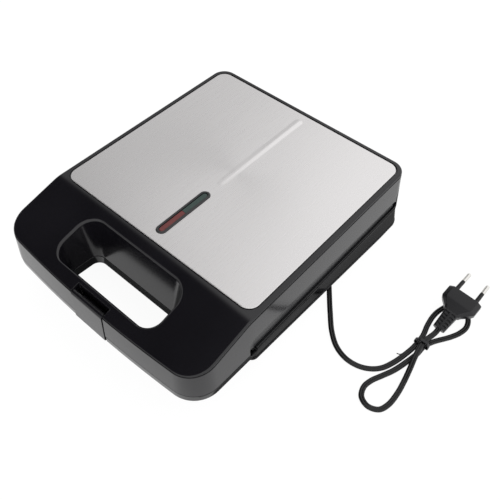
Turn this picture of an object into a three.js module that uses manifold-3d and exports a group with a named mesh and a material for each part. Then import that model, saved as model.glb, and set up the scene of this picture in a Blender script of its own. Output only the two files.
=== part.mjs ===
// Waffle maker with heart-shaped plates: a lid hinged at the rear on a base, a carrying handle that
// is split between them, and a snap latch at its front. Millimetres, +Z up, standing on Z = 0.
// Lengths along Y count from the front edge of the steel cover, positive to the rear. At the end the
// whole model moves along Y, so that the origin lies under the middle of the appliance.
import * as THREE from "three";
import { mergeVertices } from "three/addons/utils/BufferGeometryUtils.js";
import Module from "manifold-3d";

const wasm = await Module();
wasm.setup();

// Fits
const seatGap = 0.3; // between pieces that rest on or sit in each other
const overrun = 3; // how far a cutter runs past the face that it opens
const quarterTurn = Math.PI / 2;

// Heights
const footHeight = 8;
const coverRimHeight = 14; // top edge of the bottom cover's rim
const seamHeight = 41; // where lid and base meet
const lidTop = 80;
const handleBelowSeam = 8;
const handleBottom = seamHeight - handleBelowSeam;

// Outline of the lid, at its top edge
const lidHalfWidth = 104.8;
const lidRear = 195.3;
const lidNose = -65.6;
const lidRearRadius = 13;
const lidNoseRadius = 21;
const noseBow = 3.2; // how far the front edge curves back towards its corners
const handleRoot = -5.2; // where the handle starts to slope down
const slopeShare = 0.25; // fall of the handle's top for each mm forwards
const leanShare = 0.08; // how much the walls lean out for each mm down
const shellWall = 2.4;
const deckWall = 4;
const edgeRound = 1.3;

// Handle well, at the handle's top face
const wellSideSpan = 48.6; // from the well's side to the lid's
const wellHalfWidth = lidHalfWidth - wellSideSpan;
const wellFront = -55.3;
const wellRear = -9.8;
const wellFrontRadius = 14.9;
const wellRearRadius = 17.4;
const wellLip = 2.8; // radius of the rounded rim
const wellLeanShare = 0.2;
const baseWellLeanShare = 0.09;

// Steel cover
const steelSideMargin = 4.8;
const steelRearMargin = 4.7;
const steelHalfWidth = lidHalfWidth - steelSideMargin;
const steelDepth = lidRear - steelRearMargin;
const steelRadius = 9.5;
const steelThick = 0.9;
const steelRound = 0.5;
const steelJoint = 1; // dark joint round the steel
const ridgeFront = 73;
const ridgeRearMargin = 6.6;
const ridgeRear = steelDepth - ridgeRearMargin;
const ridgeWidth = 11;
const ridgeHeight = 0.8;
const ridgeShoulderShare = 0.75; // of its height, where its sides turn into its top

// Lamp window
const windowFront = 7.6;
const windowRear = 63.6;
const windowHalfWidth = 4.4;
const windowFrame = 2.2; // width of the frame round the lenses
const frameProud = 0.7;
const frameFlange = 1.5;
const frameDepthShare = 0.154; // of the lid's height over the seam
const lensProud = 0.2;
const lensThick = 3;

// Side recesses of the lid
const recessFront = -8;
const recessRearMargin = 8.3;
const recessFrontHeight = 14.8;
const recessRearHeight = 10.2;
const recessRear = lidRear - recessRearMargin;
const recessFrontTop = seamHeight + recessFrontHeight;
const recessRearTop = seamHeight + recessRearHeight;
const recessRadius = 8;

// Inner frames of lid and base
const frameWall = 2.5;
const frameUpstand = 18;

// Base hull
const flangeHeight = 3.2;
const flangeStep = 1.5;
const hullSideReach = 2;
const hullFrontMargin = 2.3; // how much narrower than the lid the hull is at its front
const hullHalfWidth = lidHalfWidth + hullSideReach;
const hullFrontHalfWidth = lidHalfWidth - hullFrontMargin;
const hullShoulder = 170;
const hullFront = -1;
const hullFrontRise = 2; // how much further forward the hull starts at its top edge
const hullRearReach = 7.7;
const hullRear = lidRear + hullRearReach;
const hullFrontRadius = 6;
const hullRearRadius = 11;
const handleBackEnd = 0; // where the handle's lower half runs into the hull
const handleRound = 2;
const coverProud = 0.4;

// Hinges
const hingeReach = 8.9; // from the lid's rear edge to the pin's axis
const hingeSideMargin = 42.8;
const hingeY = lidRear + hingeReach;
const hingeX = lidHalfWidth - hingeSideMargin;
const knuckleRadius = 5;
const knuckleWidth = 14;
const earWidth = 6;
const hingePinRadius = 2;
const hingeRootReach = 1.3;
const hingeRootY = lidRear + hingeRootReach;

// Latch
const latchHalfWidth = 16.8;
const notchGap = 0.6;
const notchBack = -57.2;
const latchThick = 3;
const latchProud = 0.4;
const latchBelowSeam = 6;
const latchBottom = seamHeight - latchBelowSeam;
const latchPinY = -60.3;
const latchPinShare = 0.6276; // of the way from the seam to the top of the nose
const latchPinRadius = 1.2;
const latchBossRadius = 2.5;
const latchBossHalfWidth = 12;
const hookReach = 6.2;
const hookHeight = 2.8;
const hookLead = 1.2;
const catchFront = -62;

// Cooking plates
const plateFront = 12;
const plateRearMargin = 17.3;
const plateRear = lidRear - plateRearMargin;
const plateMiddle = (plateFront + plateRear) / 2;
const plateSideMargin = 16.8;
const plateHalfWidth = lidHalfWidth - plateSideMargin;
const plateHalfDepth = (plateRear - plateFront) / 2;
const plateRadius = 20;
const plateThick = 9.5;
const plateFlange = 4;
const plateFlangeThick = 3;
const hollowDepth = 6;
const hollowDraft = 1.4;
const heartCount = 5;
const heartTip = 7.5; // from the middle of the plate to each heart's point
const heartReachShare = 0.6747; // from the point to the middle of each lobe, of the plate's half depth
const heartReach = heartReachShare * Math.min(plateHalfWidth, plateHalfDepth);
const heartHalfAngle = THREE.MathUtils.degToRad(33);
const lobeAngleShare = 0.47;
const studPitch = 13.5;
const studHeight = 3.5;
const studFoot = 5.2; // half diagonal of a stud at its foot
const studHead = 3.2;

// Heating: heights are shares of the room between a plate and what lies behind it.
const heaterRadius = heartReach;
const heaterTubeShare = 0.24;
const heaterOpening = THREE.MathUtils.degToRad(50);
const heaterSteps = 26;
const heaterLeadProud = 3; // how far the heater's ends stand out behind its pan
const panWall = 1;
const panInset = 6;
const panDepthShare = 0.83;
const panLean = 3;
const thermostatRadius = 12;
const thermostatShare = 0.6;
const fuseRadiusShare = 0.2;
const fuseLength = 24;
const lampLength = 16;
const lampHolderThick = 1.6;
const blockWidth = 30;
const blockDepth = 16;
const blockHeight = 12;
const blockRearMargin = 14.3;
const blockY = lidRear - blockRearMargin;

// Feet
const footRadius = 9.5;
const footTopRadius = 8.2;
const footStem = 3;
const footSideMargin = 24.8;
const footX = lidHalfWidth - footSideMargin;
const footFrontY = 26;
const footRearMargin = 25.3;
const footRearY = lidRear - footRearMargin;
const footChamfer = 1;
const footRecess = 4.2;
const footRecessDepth = 2.5;

// Mains cord: a flat twin lead, its strain relief, tie and plug
const cordHalfWidth = 2.3;
const cordHalfThick = 1.5;
const cordHalfSides = 6;
const cordSteps = 90;
const cordLeave = 4; // how far it runs straight out of its strain reliefs
const cordNear = 20; // stretches closer than this along the cord aren't compared with each other
const glandRoot = new THREE.Vector3(44.8, 175.3, 9);
const glandHeading = THREE.MathUtils.degToRad(-51.6);
const glandLength = 34;
const glandRadius = 4.6;
const glandTipRadius = 3.3;
const glandCollar = 6.4;
const glandCollarThick = 2.4;
const cordWellLength = 66;
const cordWellHalfWidth = glandCollar + seatGap;
const cordWellTop = glandRoot.z + cordWellHalfWidth;
const plugFace = new THREE.Vector3(197, 162, 16.35);
const plugYaw = THREE.MathUtils.degToRad(-3.3);
const plugPitch = THREE.MathUtils.degToRad(15.5);
const plugWidth = 30.6;
const plugHeight = 12.6;
const plugCorner = 4.4;
const plugEdge = 1;
const plugStraight = 10.3;
const plugBody = 19.5;
const plugNeckWidth = 14.4;
const plugNeckHeight = 9.6;
const reliefLength = 17.4;
const reliefWidth = 12;
const reliefHeight = 8.6;
const reliefEndWidth = 10.2;
const reliefEndHeight = 5.6;
const reliefCorner = 2.6;
const reliefGroove = 0.9;
const reliefRibs = 4;
const ribShares = [0.15, 0.5, 0.85]; // a rib, the groove behind it and the next rib, along one pitch
const pinSpacing = 18.6;
const pinLength = 19;
const sleeveLength = 10;
const sleeveRadius = 2;
const pinTipRound = 1;
const tiePlace = 108; // along Y
const tieWidth = 2.4;
const tieThick = 0.8;
const tieSlack = 0.6;
const tieClear = 30; // the strands in the tie lie further out than this from the lid
const tieSamples = 400;

// Colours with roughness and metalness
const finish = (color, roughness, metalness) =>
  new THREE.MeshStandardMaterial({ color, roughness, metalness });
const blackShell = finish("#242425", 0.32, 0);
const greyFrame = finish("#3c3c3e", 0.5, 0);
const brushedSteel = finish("#c2c0c0", 0.38, 1);
const castPlate = finish("#2b2b2c", 0.55, 0.3);
const aluminium = finish("#b9babc", 0.45, 1);
const steel = finish("#a7a7a9", 0.35, 1);
const redLens = finish("#a03634", 0.2, 0);
const greenLens = finish("#3f5c57", 0.2, 0);
const rubber = finish("#1c1c1d", 0.85, 0);
const cordSkin = finish("#1a1a1c", 0.5, 0);
const ceramic = finish("#d8d4c8", 0.7, 0);
const lampGlass = finish("#d9c9b0", 0.1, 0);
const nickel = finish("#cfcfcf", 0.2, 1);

// Solids: each geometry becomes a closed body that can be joined and cut.
function solid(geometry) {
  const bare = geometry.clone();
  bare.deleteAttribute("normal");
  if (bare.getAttribute("uv")) bare.deleteAttribute("uv");
  const merged = mergeVertices(bare);
  return new wasm.Manifold(
    new wasm.Mesh({
      numProp: 3,
      vertProperties: new Float32Array(merged.attributes.position.array),
      triVerts: new Uint32Array(merged.index.array),
    }),
  );
}

const join = (...parts) => parts.reduce((all, part) => all.add(part));
const cut = (whole, ...tools) => tools.reduce((left, tool) => left.subtract(tool), whole);
const common = (a, b) => a.intersect(b);

function geometryOf(body) {
  const mesh = body.getMesh();
  const geometry = new THREE.BufferGeometry();
  geometry.setAttribute("position", new THREE.BufferAttribute(mesh.vertProperties, 3));
  geometry.setIndex(new THREE.BufferAttribute(mesh.triVerts, 1));
  const faceted = geometry.toNonIndexed();
  faceted.computeVertexNormals();
  return faceted;
}

const appliance = new THREE.Group();

function add(name, body, material) {
  const geometry = body.isBufferGeometry ? body : geometryOf(body);
  const mesh = new THREE.Mesh(geometry, material);
  mesh.name = name;
  appliance.add(mesh);
  return mesh;
}

// A box between two corners.
function boxBody(low, high) {
  const size = high.map((v, i) => v - low[i]);
  const middle = high.map((v, i) => (v + low[i]) / 2);
  return solid(new THREE.BoxGeometry(...size).translate(...middle));
}

// A cylinder along X, Y or Z, tapered if the second radius differs.
function rod(from, axis, length, radius, sides = 20, endRadius = radius) {
  const geometry = new THREE.CylinderGeometry(endRadius, radius, length, sides);
  geometry.translate(0, length / 2, 0);
  if (axis === "x") geometry.rotateZ(-quarterTurn);
  if (axis === "z") geometry.rotateX(quarterTurn);
  return solid(geometry.translate(from.x, from.y, from.z));
}

// A flat outline given a thickness along Z.
function plateBody(shape, low, high, segments = 6) {
  const geometry = new THREE.ExtrudeGeometry(shape, {
    depth: high - low,
    bevelEnabled: false,
    curveSegments: segments,
  });
  return solid(geometry.translate(0, 0, low));
}

// A side view in Y and Z given a width along X.
function profileBody(shape, halfWidth, segments = 6) {
  const geometry = new THREE.ExtrudeGeometry(shape, {
    depth: 2 * halfWidth,
    bevelEnabled: false,
    curveSegments: segments,
  });
  geometry.translate(0, 0, -halfWidth);
  geometry.rotateX(quarterTurn);
  geometry.rotateZ(quarterTurn);
  return solid(geometry);
}

// Outlines that are the same left and right: from the front middle round to the rear middle, each
// point with the direction that faces out. The front edge may bow, and the sides may spread from a
// narrower front to a shoulder.
const arcSteps = 7;
const bowSteps = 4;

function arc(cx, cy, radius, from, to) {
  return Array.from({ length: arcSteps + 1 }, (_, i) => {
    const a = from + ((to - from) * i) / arcSteps;
    return { x: cx + radius * Math.cos(a), y: cy + radius * Math.sin(a), nx: Math.cos(a), ny: Math.sin(a) };
  });
}

function halfOutline(o) {
  const bow = o.bow ?? 0;
  const frontHalfWidth = o.frontHalfWidth ?? o.halfWidth;
  const edge = frontHalfWidth - o.frontRadius;
  const tilt = Math.atan2(2 * bow, edge);
  const frontEnd = edge + o.frontRadius * Math.sin(tilt);
  const points = [{ x: 0, y: o.front, nx: 0, ny: -1 }];
  for (let i = 1; bow > 0 && i < bowSteps; i++) {
    const share = i / bowSteps;
    const lean = Math.atan2(2 * bow * share, edge);
    points.push({
      x: frontEnd * share,
      y: o.front + bow * share * share,
      nx: Math.sin(lean),
      ny: -Math.cos(lean),
    });
  }
  const cornerY = o.front + bow + o.frontRadius * Math.cos(tilt);
  points.push(...arc(edge, cornerY, o.frontRadius, tilt - quarterTurn, 0));
  for (const y of o.marks ?? []) {
    const share = Math.min(1, (y - cornerY) / ((o.shoulder ?? y) - cornerY || 1));
    points.push({ x: frontHalfWidth + (o.halfWidth - frontHalfWidth) * share, y, nx: 1, ny: 0 });
  }
  points.push(...arc(o.halfWidth - o.rearRadius, o.rear - o.rearRadius, o.rearRadius, 0, quarterTurn));
  points.push({ x: 0, y: o.rear, nx: 0, ny: 1 });
  return points;
}

// A ring from half an outline, pushed out by grow and lifted to height, both of which may follow y.
function ring(half, grow, height) {
  const at = (value, y) => (typeof value === "function" ? value(y) : value);
  const right = half.map((p) => ({
    x: p.x + p.nx * at(grow, p.y),
    y: p.y + p.ny * at(grow, p.y),
    z: at(height, p.y),
  }));
  const left = right.slice(1, -1).reverse().map((p) => ({ ...p, x: -p.x }));
  return [...right, ...left];
}

// A skin over a stack of rings, lowest first, closed at both ends by strips that run across.
function loft(rings) {
  const count = rings[0].length;
  const index = [];
  for (let level = 0; level < rings.length - 1; level++) {
    const low = level * count;
    const high = low + count;
    for (let i = 0; i < count; i++) {
      const j = (i + 1) % count;
      index.push(low + i, low + j, high + j, low + i, high + j, high + i);
    }
  }
  const top = (rings.length - 1) * count;
  for (let i = 0; i < count / 2; i++) {
    const across = count - i - 1;
    const back = (count - i) % count;
    if (across !== i + 1) {
      index.push(top + i, top + i + 1, top + across);
      index.push(i + 1, i, across);
    }
    if (back !== i) {
      index.push(top + i, top + across, top + back);
      index.push(across, i, back);
    }
  }
  const geometry = new THREE.BufferGeometry();
  const flat = new Float32Array(rings.flat().flatMap((p) => [p.x, p.y, p.z]));
  geometry.setAttribute("position", new THREE.BufferAttribute(flat, 3));
  geometry.setIndex(index);
  return solid(geometry);
}

// The lid's top height: level over the steel, falling along the handle.
const topAt = (y) => lidTop - slopeShare * Math.max(0, handleRoot - y);
const lidLow = seamHeight + seatGap / 2;
const baseHigh = seamHeight - seatGap / 2;
const latchPinHeight = seamHeight + latchPinShare * (topAt(lidNose) - seamHeight);

// Room behind each plate for its heater and reflector: below it lies the cord's well, above it the lamps.
const frameDepth = frameDepthShare * (lidTop - seamHeight);
const holderTop = lidTop - deckWall - 2 * seatGap - frameDepth;
const roomBelow = baseHigh - plateThick - cordWellTop - shellWall;
const roomAbove = holderTop - lampHolderThick - lidLow - plateThick;
const heatRoom = Math.min(roomBelow, roomAbove);
const heaterTube = heaterTubeShare * heatRoom;
const panDepth = panDepthShare * heatRoom;
const thermostatHeight = thermostatShare * heatRoom;
const fuseRadius = fuseRadiusShare * heatRoom;

const lidOutline = halfOutline({
  halfWidth: lidHalfWidth,
  front: lidNose,
  rear: lidRear,
  frontRadius: lidNoseRadius,
  rearRadius: lidRearRadius,
  bow: noseBow,
  marks: [handleRoot],
});

// How far the outer wall has leaned out at a height.
const wallGrow = (z) => (y) => leanShare * (topAt(y) - z);

// A body inside the lid's outline: inset from its wall, from a level floor up to a distance under
// the sloping top.
function lidBlock(inset, floor, underTop) {
  return loft([
    ring(lidOutline, (y) => wallGrow(floor)(y) - inset, floor),
    ring(lidOutline, leanShare * underTop - inset, (y) => topAt(y) - underTop),
  ]);
}

// Rings that round a rim: the wall turns through a quarter circle into the top face.
function roundedRim(half, height, radius, inward) {
  const steps = 3;
  return Array.from({ length: steps + 1 }, (_, i) => {
    const a = (quarterTurn * i) / steps;
    const grow = inward ? -radius * Math.cos(a) : radius * (Math.cos(a) - 1);
    return ring(half, grow, (y) => height(y) - radius * (1 - Math.sin(a)));
  });
}

const lidSkin = loft([
  ring(lidOutline, wallGrow(lidLow), lidLow),
  ...roundedRim(lidOutline, topAt, edgeRound, false),
]);

// The well through the handle: a rounded rim, then walls that close in down to the seam.
const wellOutline = halfOutline({
  halfWidth: wellHalfWidth,
  front: wellFront,
  rear: wellRear,
  frontRadius: wellFrontRadius,
  rearRadius: wellRearRadius,
});
const wellGrow = (z) => (y) => -wellLip - wellLeanShare * (topAt(y) - wellLip - z);
const wellTool = loft([
  ring(wellOutline, wellGrow(seamHeight - overrun), seamHeight - overrun),
  ...roundedRim(wellOutline, topAt, wellLip, true),
  ring(wellOutline, 0, (y) => topAt(y) + overrun),
]);

function lidWellBlock(grow) {
  const under = deckWall / 2;
  return loft([
    ring(wellOutline, (y) => wellGrow(lidLow)(y) + grow, lidLow),
    ring(wellOutline, (y) => grow - wellLip, (y) => topAt(y) - wellLip - under),
    ring(wellOutline, (y) => grow - wellLip / 2, (y) => topAt(y) - under),
  ]);
}

// The notch for the latch in the front of the handle, and the walls round it.
function notchBlock(low, high, grow) {
  const half = latchHalfWidth + notchGap + grow;
  return boxBody([-half, lidNose - 3 * overrun, low], [half, notchBack + grow, high]);
}

function sideRecess() {
  const shape = new THREE.Shape();
  const low = lidLow - overrun;
  shape.moveTo(recessFront, low);
  shape.lineTo(recessRear, low);
  shape.lineTo(recessRear, recessRearTop - recessRadius);
  shape.quadraticCurveTo(recessRear, recessRearTop, recessRear - recessRadius, recessRearTop);
  shape.lineTo(recessFront + recessRadius, recessFrontTop);
  shape.quadraticCurveTo(recessFront, recessFrontTop, recessFront, recessFrontTop - recessRadius);
  shape.lineTo(recessFront, low);
  return profileBody(shape, 2 * lidHalfWidth);
}

// A long hole or strip with round ends, along Y.
function slotOutline(half, front, rear) {
  return halfOutline({ halfWidth: half, front, rear, frontRadius: half, rearRadius: half });
}

const level = (half, low, high, grow = 0) => loft([ring(half, grow, low), ring(half, grow, high)]);

const steelOutline = halfOutline({
  halfWidth: steelHalfWidth,
  front: 0,
  rear: steelDepth,
  frontRadius: steelRadius,
  rearRadius: steelRadius,
});
const windowOutline = slotOutline(windowHalfWidth, windowFront, windowRear);

function hingeBarrel(xFrom, width, low, high) {
  const barrel = rod({ x: xFrom, y: hingeY, z: seamHeight }, "x", width, knuckleRadius, 24);
  return join(barrel, boxBody([xFrom, hingeRootY, low], [xFrom + width, hingeY, high]));
}

const sides = { left: -1, right: 1 };
const hingeBore = (side) =>
  rod(
    { x: side * hingeX - knuckleWidth, y: hingeY, z: seamHeight },
    "x",
    2 * knuckleWidth,
    hingePinRadius + seatGap,
  );

// Lid casing
function lidCasing() {
  const hollow = lidBlock(shellWall, lidLow - overrun, deckWall);
  const notchWalls = common(notchBlock(lidLow, lidTop, shellWall), lidSkin);
  const wellWalls = common(lidWellBlock(shellWall), lidSkin);
  let body = join(cut(lidSkin, hollow), wellWalls, notchWalls);
  for (const side of Object.values(sides)) {
    const start = side * hingeX - knuckleWidth / 2;
    body = join(body, hingeBarrel(start, knuckleWidth, lidLow, seamHeight + knuckleRadius));
  }
  const steelBed = level(steelOutline, lidTop - steelThick - seatGap, lidTop + overrun, steelJoint);
  const windowHole = level(windowOutline, lidTop - 2 * deckWall, lidTop + overrun, seatGap);
  const pinHole = rod(
    { x: -latchHalfWidth - shellWall, y: latchPinY, z: latchPinHeight },
    "x",
    2 * (latchHalfWidth + shellWall),
    latchPinRadius + seatGap,
    12,
  );
  return cut(
    body,
    wellTool,
    notchBlock(lidLow - overrun, lidTop + overrun, 0),
    sideRecess(),
    steelBed,
    windowHole,
    pinHole,
    ...Object.values(sides).map(hingeBore),
  );
}
add("lid_casing", lidCasing(), blackShell);

// Inner frame of the lid: a flat face at the seam with an upstand inside the casing's walls.
const plateOutline = halfOutline({
  halfWidth: plateHalfWidth,
  front: plateMiddle - plateHalfDepth,
  rear: plateMiddle + plateHalfDepth,
  frontRadius: plateRadius,
  rearRadius: plateRadius,
});

function lidLiner() {
  const inset = shellWall + seatGap;
  const height = lidLow + frameUpstand;
  const stack = (extra, low, high) =>
    loft([
      ring(lidOutline, (y) => wallGrow(low)(y) - inset - extra, low),
      ring(lidOutline, (y) => wallGrow(high)(y) - inset - extra, high),
    ]);
  const tray = cut(
    stack(0, lidLow, height),
    stack(frameWall, lidLow + frameWall, height + overrun),
  );
  const underDeck = lidBlock(inset, lidLow - overrun, deckWall + seatGap);
  return cut(
    common(tray, underDeck),
    level(plateOutline, lidLow - overrun, height + overrun, seatGap),
    lidWellBlock(inset),
    level(wellOutline, lidLow - overrun, lidLow + overrun, (y) => wellGrow(lidLow)(y) + inset),
    notchBlock(lidLow - overrun, lidTop, shellWall + seatGap),
  );
}
add("lid_liner", lidLiner(), greyFrame);

// Steel cover with its ridge and the hole for the lamp window.
function steelCover() {
  const sheetLow = lidTop - steelThick;
  const sheet = loft([
    ring(steelOutline, 0, sheetLow),
    ring(steelOutline, 0, lidTop - steelRound),
    ring(steelOutline, -steelRound / 3, lidTop - steelRound / 3),
    ring(steelOutline, -steelRound, lidTop),
  ]);
  const ridgePlan = slotOutline(ridgeWidth / 2, ridgeFront, ridgeRear);
  const ridge = loft([
    ring(ridgePlan, 0, lidTop - steelThick / 2),
    ring(ridgePlan, 0, lidTop),
    ring(ridgePlan, -ridgeWidth / 6, lidTop + ridgeHeight * ridgeShoulderShare),
    ring(ridgePlan, -ridgeWidth / 3, lidTop + ridgeHeight),
  ]);
  return cut(join(sheet, ridge), level(windowOutline, sheetLow - overrun, lidTop + overrun, seatGap));
}
add("steel_cover", steelCover(), brushedSteel);

// Lamp window: a frame with a flange under the casing's deck, and two lenses that share its hole.
const lensOutline = slotOutline(
  windowHalfWidth - windowFrame,
  windowFront + windowFrame,
  windowRear - windowFrame,
);

function windowFramePiece() {
  const high = lidTop + frameProud;
  const deckUnder = lidTop - deckWall - seatGap;
  const body = join(
    loft([
      ring(windowOutline, 0, deckUnder - frameDepth),
      ring(windowOutline, 0, lidTop),
      ring(windowOutline, -windowFrame / 2, high),
    ]),
    level(windowOutline, deckUnder - frameFlange, deckUnder, frameFlange),
  );
  return cut(body, level(lensOutline, lidTop - 4 * deckWall, high + overrun, seatGap));
}
add("indicator_bezel", windowFramePiece(), greyFrame);

const lensTop = lidTop + lensProud;
const windowMiddle = (windowFront + windowRear) / 2;
const lens = level(lensOutline, lensTop - lensThick, lensTop);
for (const [name, from, to, material] of [
  ["red_lens", windowFront, windowMiddle - seatGap / 2, redLens],
  ["green_lens", windowMiddle + seatGap / 2, windowRear, greenLens],
]) {
  const half = boxBody(
    [-windowHalfWidth, from, lensTop - 2 * lensThick],
    [windowHalfWidth, to, lensTop + overrun],
  );
  add(name, common(lens, half), material);
}

// Lamps in their holder, which closes the frame from below.
const lampBottom = holderTop + seatGap;
add(
  "lamp_holder",
  level(windowOutline, holderTop - lampHolderThick, holderTop, frameFlange),
  greyFrame,
);
const lampRoom = lensTop - lensThick - seatGap - lampBottom;
const lampRadius = Math.min(lampRoom / 2, windowHalfWidth - windowFrame - seatGap);
for (const [name, y] of [
  ["red_lamp", (windowFront + windowMiddle) / 2],
  ["green_lamp", (windowMiddle + windowRear) / 2],
]) {
  const end = { x: 0, y: y - lampLength / 2, z: lampBottom + lampRadius };
  add(name, rod(end, "y", lampLength, lampRadius, 10), lampGlass);
}

// Latch: a thumb plate flush with the nose, bosses round its pin and a hook under the base.
const latchFaceY = (z) => lidNose - leanShare * (topAt(lidNose) - z) - latchProud;

function latchBody() {
  const shape = new THREE.Shape();
  const topFront = topAt(lidNose) - seatGap;
  const backY = (z) => latchFaceY(z) + latchThick;
  const hookTop = latchBottom + hookHeight;
  const hookTip = latchFaceY(latchBottom) + latchThick + hookReach;
  shape.moveTo(latchFaceY(topFront) + hookLead, topFront);
  shape.lineTo(backY(topFront), topFront);
  shape.lineTo(backY(hookTop), hookTop);
  shape.lineTo(hookTip, hookTop);
  shape.lineTo(hookTip, hookTop - hookLead);
  shape.lineTo(hookTip - hookLead, latchBottom);
  shape.lineTo(latchFaceY(latchBottom) + hookLead, latchBottom);
  shape.quadraticCurveTo(
    latchFaceY(latchBottom),
    latchBottom,
    latchFaceY(latchBottom + hookLead),
    latchBottom + hookLead,
  );
  shape.lineTo(latchFaceY(topFront - hookLead), topFront - hookLead);
  shape.quadraticCurveTo(
    latchFaceY(topFront),
    topFront,
    latchFaceY(topFront) + hookLead,
    topFront,
  );
  const pin = { x: -latchBossHalfWidth, y: latchPinY, z: latchPinHeight };
  const boss = rod(pin, "x", 2 * latchBossHalfWidth, latchBossRadius, 16);
  const web = boxBody(
    [-latchBossHalfWidth, latchFaceY(latchPinHeight) + latchThick / 2, latchPinHeight - latchBossRadius],
    [latchBossHalfWidth, latchPinY, latchPinHeight + latchBossRadius],
  );
  const bore = rod(
    { ...pin, x: -latchHalfWidth },
    "x",
    2 * latchHalfWidth,
    latchPinRadius + seatGap,
    12,
  );
  return cut(join(profileBody(shape, latchHalfWidth), boss, web), bore);
}
add("latch", latchBody(), blackShell);
add(
  "latch_pin",
  rod(
    { x: -latchHalfWidth - shellWall, y: latchPinY, z: latchPinHeight },
    "x",
    2 * (latchHalfWidth + shellWall),
    latchPinRadius,
    12,
  ),
  steel,
);

// Cooking plates: five hearts round the middle, with rows of studs that print the grid.
function heartShape() {
  const lobe = lobeAngleShare * heartHalfAngle;
  const radius = heartReach * Math.sin(heartHalfAngle - lobe);
  const lobeX = heartReach * Math.sin(lobe);
  const lobeY = heartTip + heartReach * Math.cos(lobe);
  const cusp = Math.acos(-lobeX / radius);
  const shape = new THREE.Shape();
  const spread = { x: radius * Math.cos(heartHalfAngle), y: radius * Math.sin(heartHalfAngle) };
  shape.moveTo(0, heartTip);
  shape.lineTo(lobeX + spread.x, lobeY - spread.y);
  shape.absarc(lobeX, lobeY, radius, -heartHalfAngle, cusp, false);
  shape.absarc(-lobeX, lobeY, radius, Math.PI - cusp, Math.PI + heartHalfAngle, false);
  shape.closePath();
  return { shape, radius, lobeX, lobeY };
}

function insideHeart(x, y, heart) {
  const inLobe = Math.hypot(Math.abs(x) - heart.lobeX, y - heart.lobeY) < heart.radius;
  const up = y - heartTip;
  const inPoint = Math.abs(x) < up * Math.tan(heartHalfAngle) && y < heart.lobeY;
  return inLobe || inPoint;
}

function heartTool() {
  const heart = heartShape();
  const geometry = new THREE.ExtrudeGeometry(heart.shape, {
    depth: overrun,
    bevelThickness: hollowDepth,
    bevelSize: hollowDraft,
    bevelOffset: -hollowDraft,
    bevelSegments: 1,
    curveSegments: 5,
  });
  let tool = solid(geometry);
  const reach = Math.ceil((heartTip + heartReach + heart.radius) / studPitch);
  for (let row = 0; row <= reach; row++) {
    for (let column = -reach; column <= reach; column++) {
      const x = column * studPitch;
      const y = heartTip + (row + 1) * studPitch;
      if (!insideHeart(x, y, heart)) continue;
      const stud = new THREE.CylinderGeometry(studHead, studFoot, studHeight + overrun, 4);
      stud.rotateX(quarterTurn).rotateZ(quarterTurn / 2);
      stud.translate(x, y, -hollowDepth + (studHeight - overrun) / 2);
      tool = cut(tool, solid(stud));
    }
  }
  return tool;
}

function plate() {
  const back = -plateThick;
  const flangeTop = -frameWall - seatGap;
  const blank = join(
    level(plateOutline, back, 0),
    level(plateOutline, flangeTop - plateFlangeThick, flangeTop, plateFlange),
  );
  const tool = heartTool();
  const turns = Array.from({ length: heartCount }, (_, i) => (360 / heartCount) * i);
  return cut(blank, ...turns.map((turn) => tool.rotate([0, 0, turn]).translate([0, plateMiddle, 0])));
}
const lowerPlate = plate();
add("lower_plate", lowerPlate.translate([0, 0, baseHigh]), castPlate);
add("upper_plate", lowerPlate.scale([1, 1, -1]).translate([0, 0, lidLow]), castPlate);

// Heating ring: an open loop of tube whose ends turn away from the plate.
function heaterRing() {
  const start = -quarterTurn + heaterOpening / 2;
  const end = -quarterTurn - heaterOpening / 2 + 2 * Math.PI;
  const points = Array.from({ length: heaterSteps + 1 }, (_, i) => {
    const a = start + ((end - start) * i) / heaterSteps;
    return new THREE.Vector3(heaterRadius * Math.cos(a), plateMiddle + heaterRadius * Math.sin(a), 0);
  });
  const section = new THREE.Shape();
  section.absarc(0, 0, heaterTube, 0, 2 * Math.PI, false);
  const tube = new THREE.ExtrudeGeometry(section, {
    steps: heaterSteps,
    extrudePath: new THREE.CatmullRomCurve3(points),
    curveSegments: 4,
    bevelEnabled: false,
  });
  let body = solid(tube);
  for (const p of [points[0], points[heaterSteps]]) {
    body = join(body, rod(p, "z", panDepth + heaterLeadProud, heaterTube, 8));
  }
  return body;
}
const heater = heaterRing();
const heaterOff = plateThick + seatGap + heaterTube;
add("upper_heater", heater.translate([0, 0, lidLow + heaterOff]), steel);
add("lower_heater", heater.scale([1, 1, -1]).translate([0, 0, baseHigh - heaterOff]), steel);

// Reflector pan behind each heater, with holes for the heater's ends.
function reflector() {
  const low = plateThick + seatGap;
  const stack = (inset, from, to) =>
    loft([ring(plateOutline, -panInset - inset, from), ring(plateOutline, -panInset - inset - panLean, to)]);
  const pan = cut(stack(0, low, low + panDepth), stack(panWall, low - overrun, low + panDepth - panWall));
  const start = -quarterTurn + heaterOpening / 2;
  const holes = [-1, 1].map((side) =>
    rod(
      {
        x: side * heaterRadius * Math.cos(start),
        y: plateMiddle + heaterRadius * Math.sin(start),
        z: 0,
      },
      "z",
      low + 2 * panDepth,
      heaterTube + seatGap,
      8,
    ),
  );
  const probe = rod({ x: 0, y: plateMiddle, z: 0 }, "z", low + 2 * panDepth, thermostatRadius + seatGap);
  return { pan: cut(pan, ...holes), open: cut(pan, ...holes, probe) };
}
const pans = reflector();
add("upper_reflector", pans.open.translate([0, 0, lidLow]), aluminium);
add("lower_reflector", pans.pan.scale([1, 1, -1]).translate([0, 0, baseHigh]), aluminium);

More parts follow.
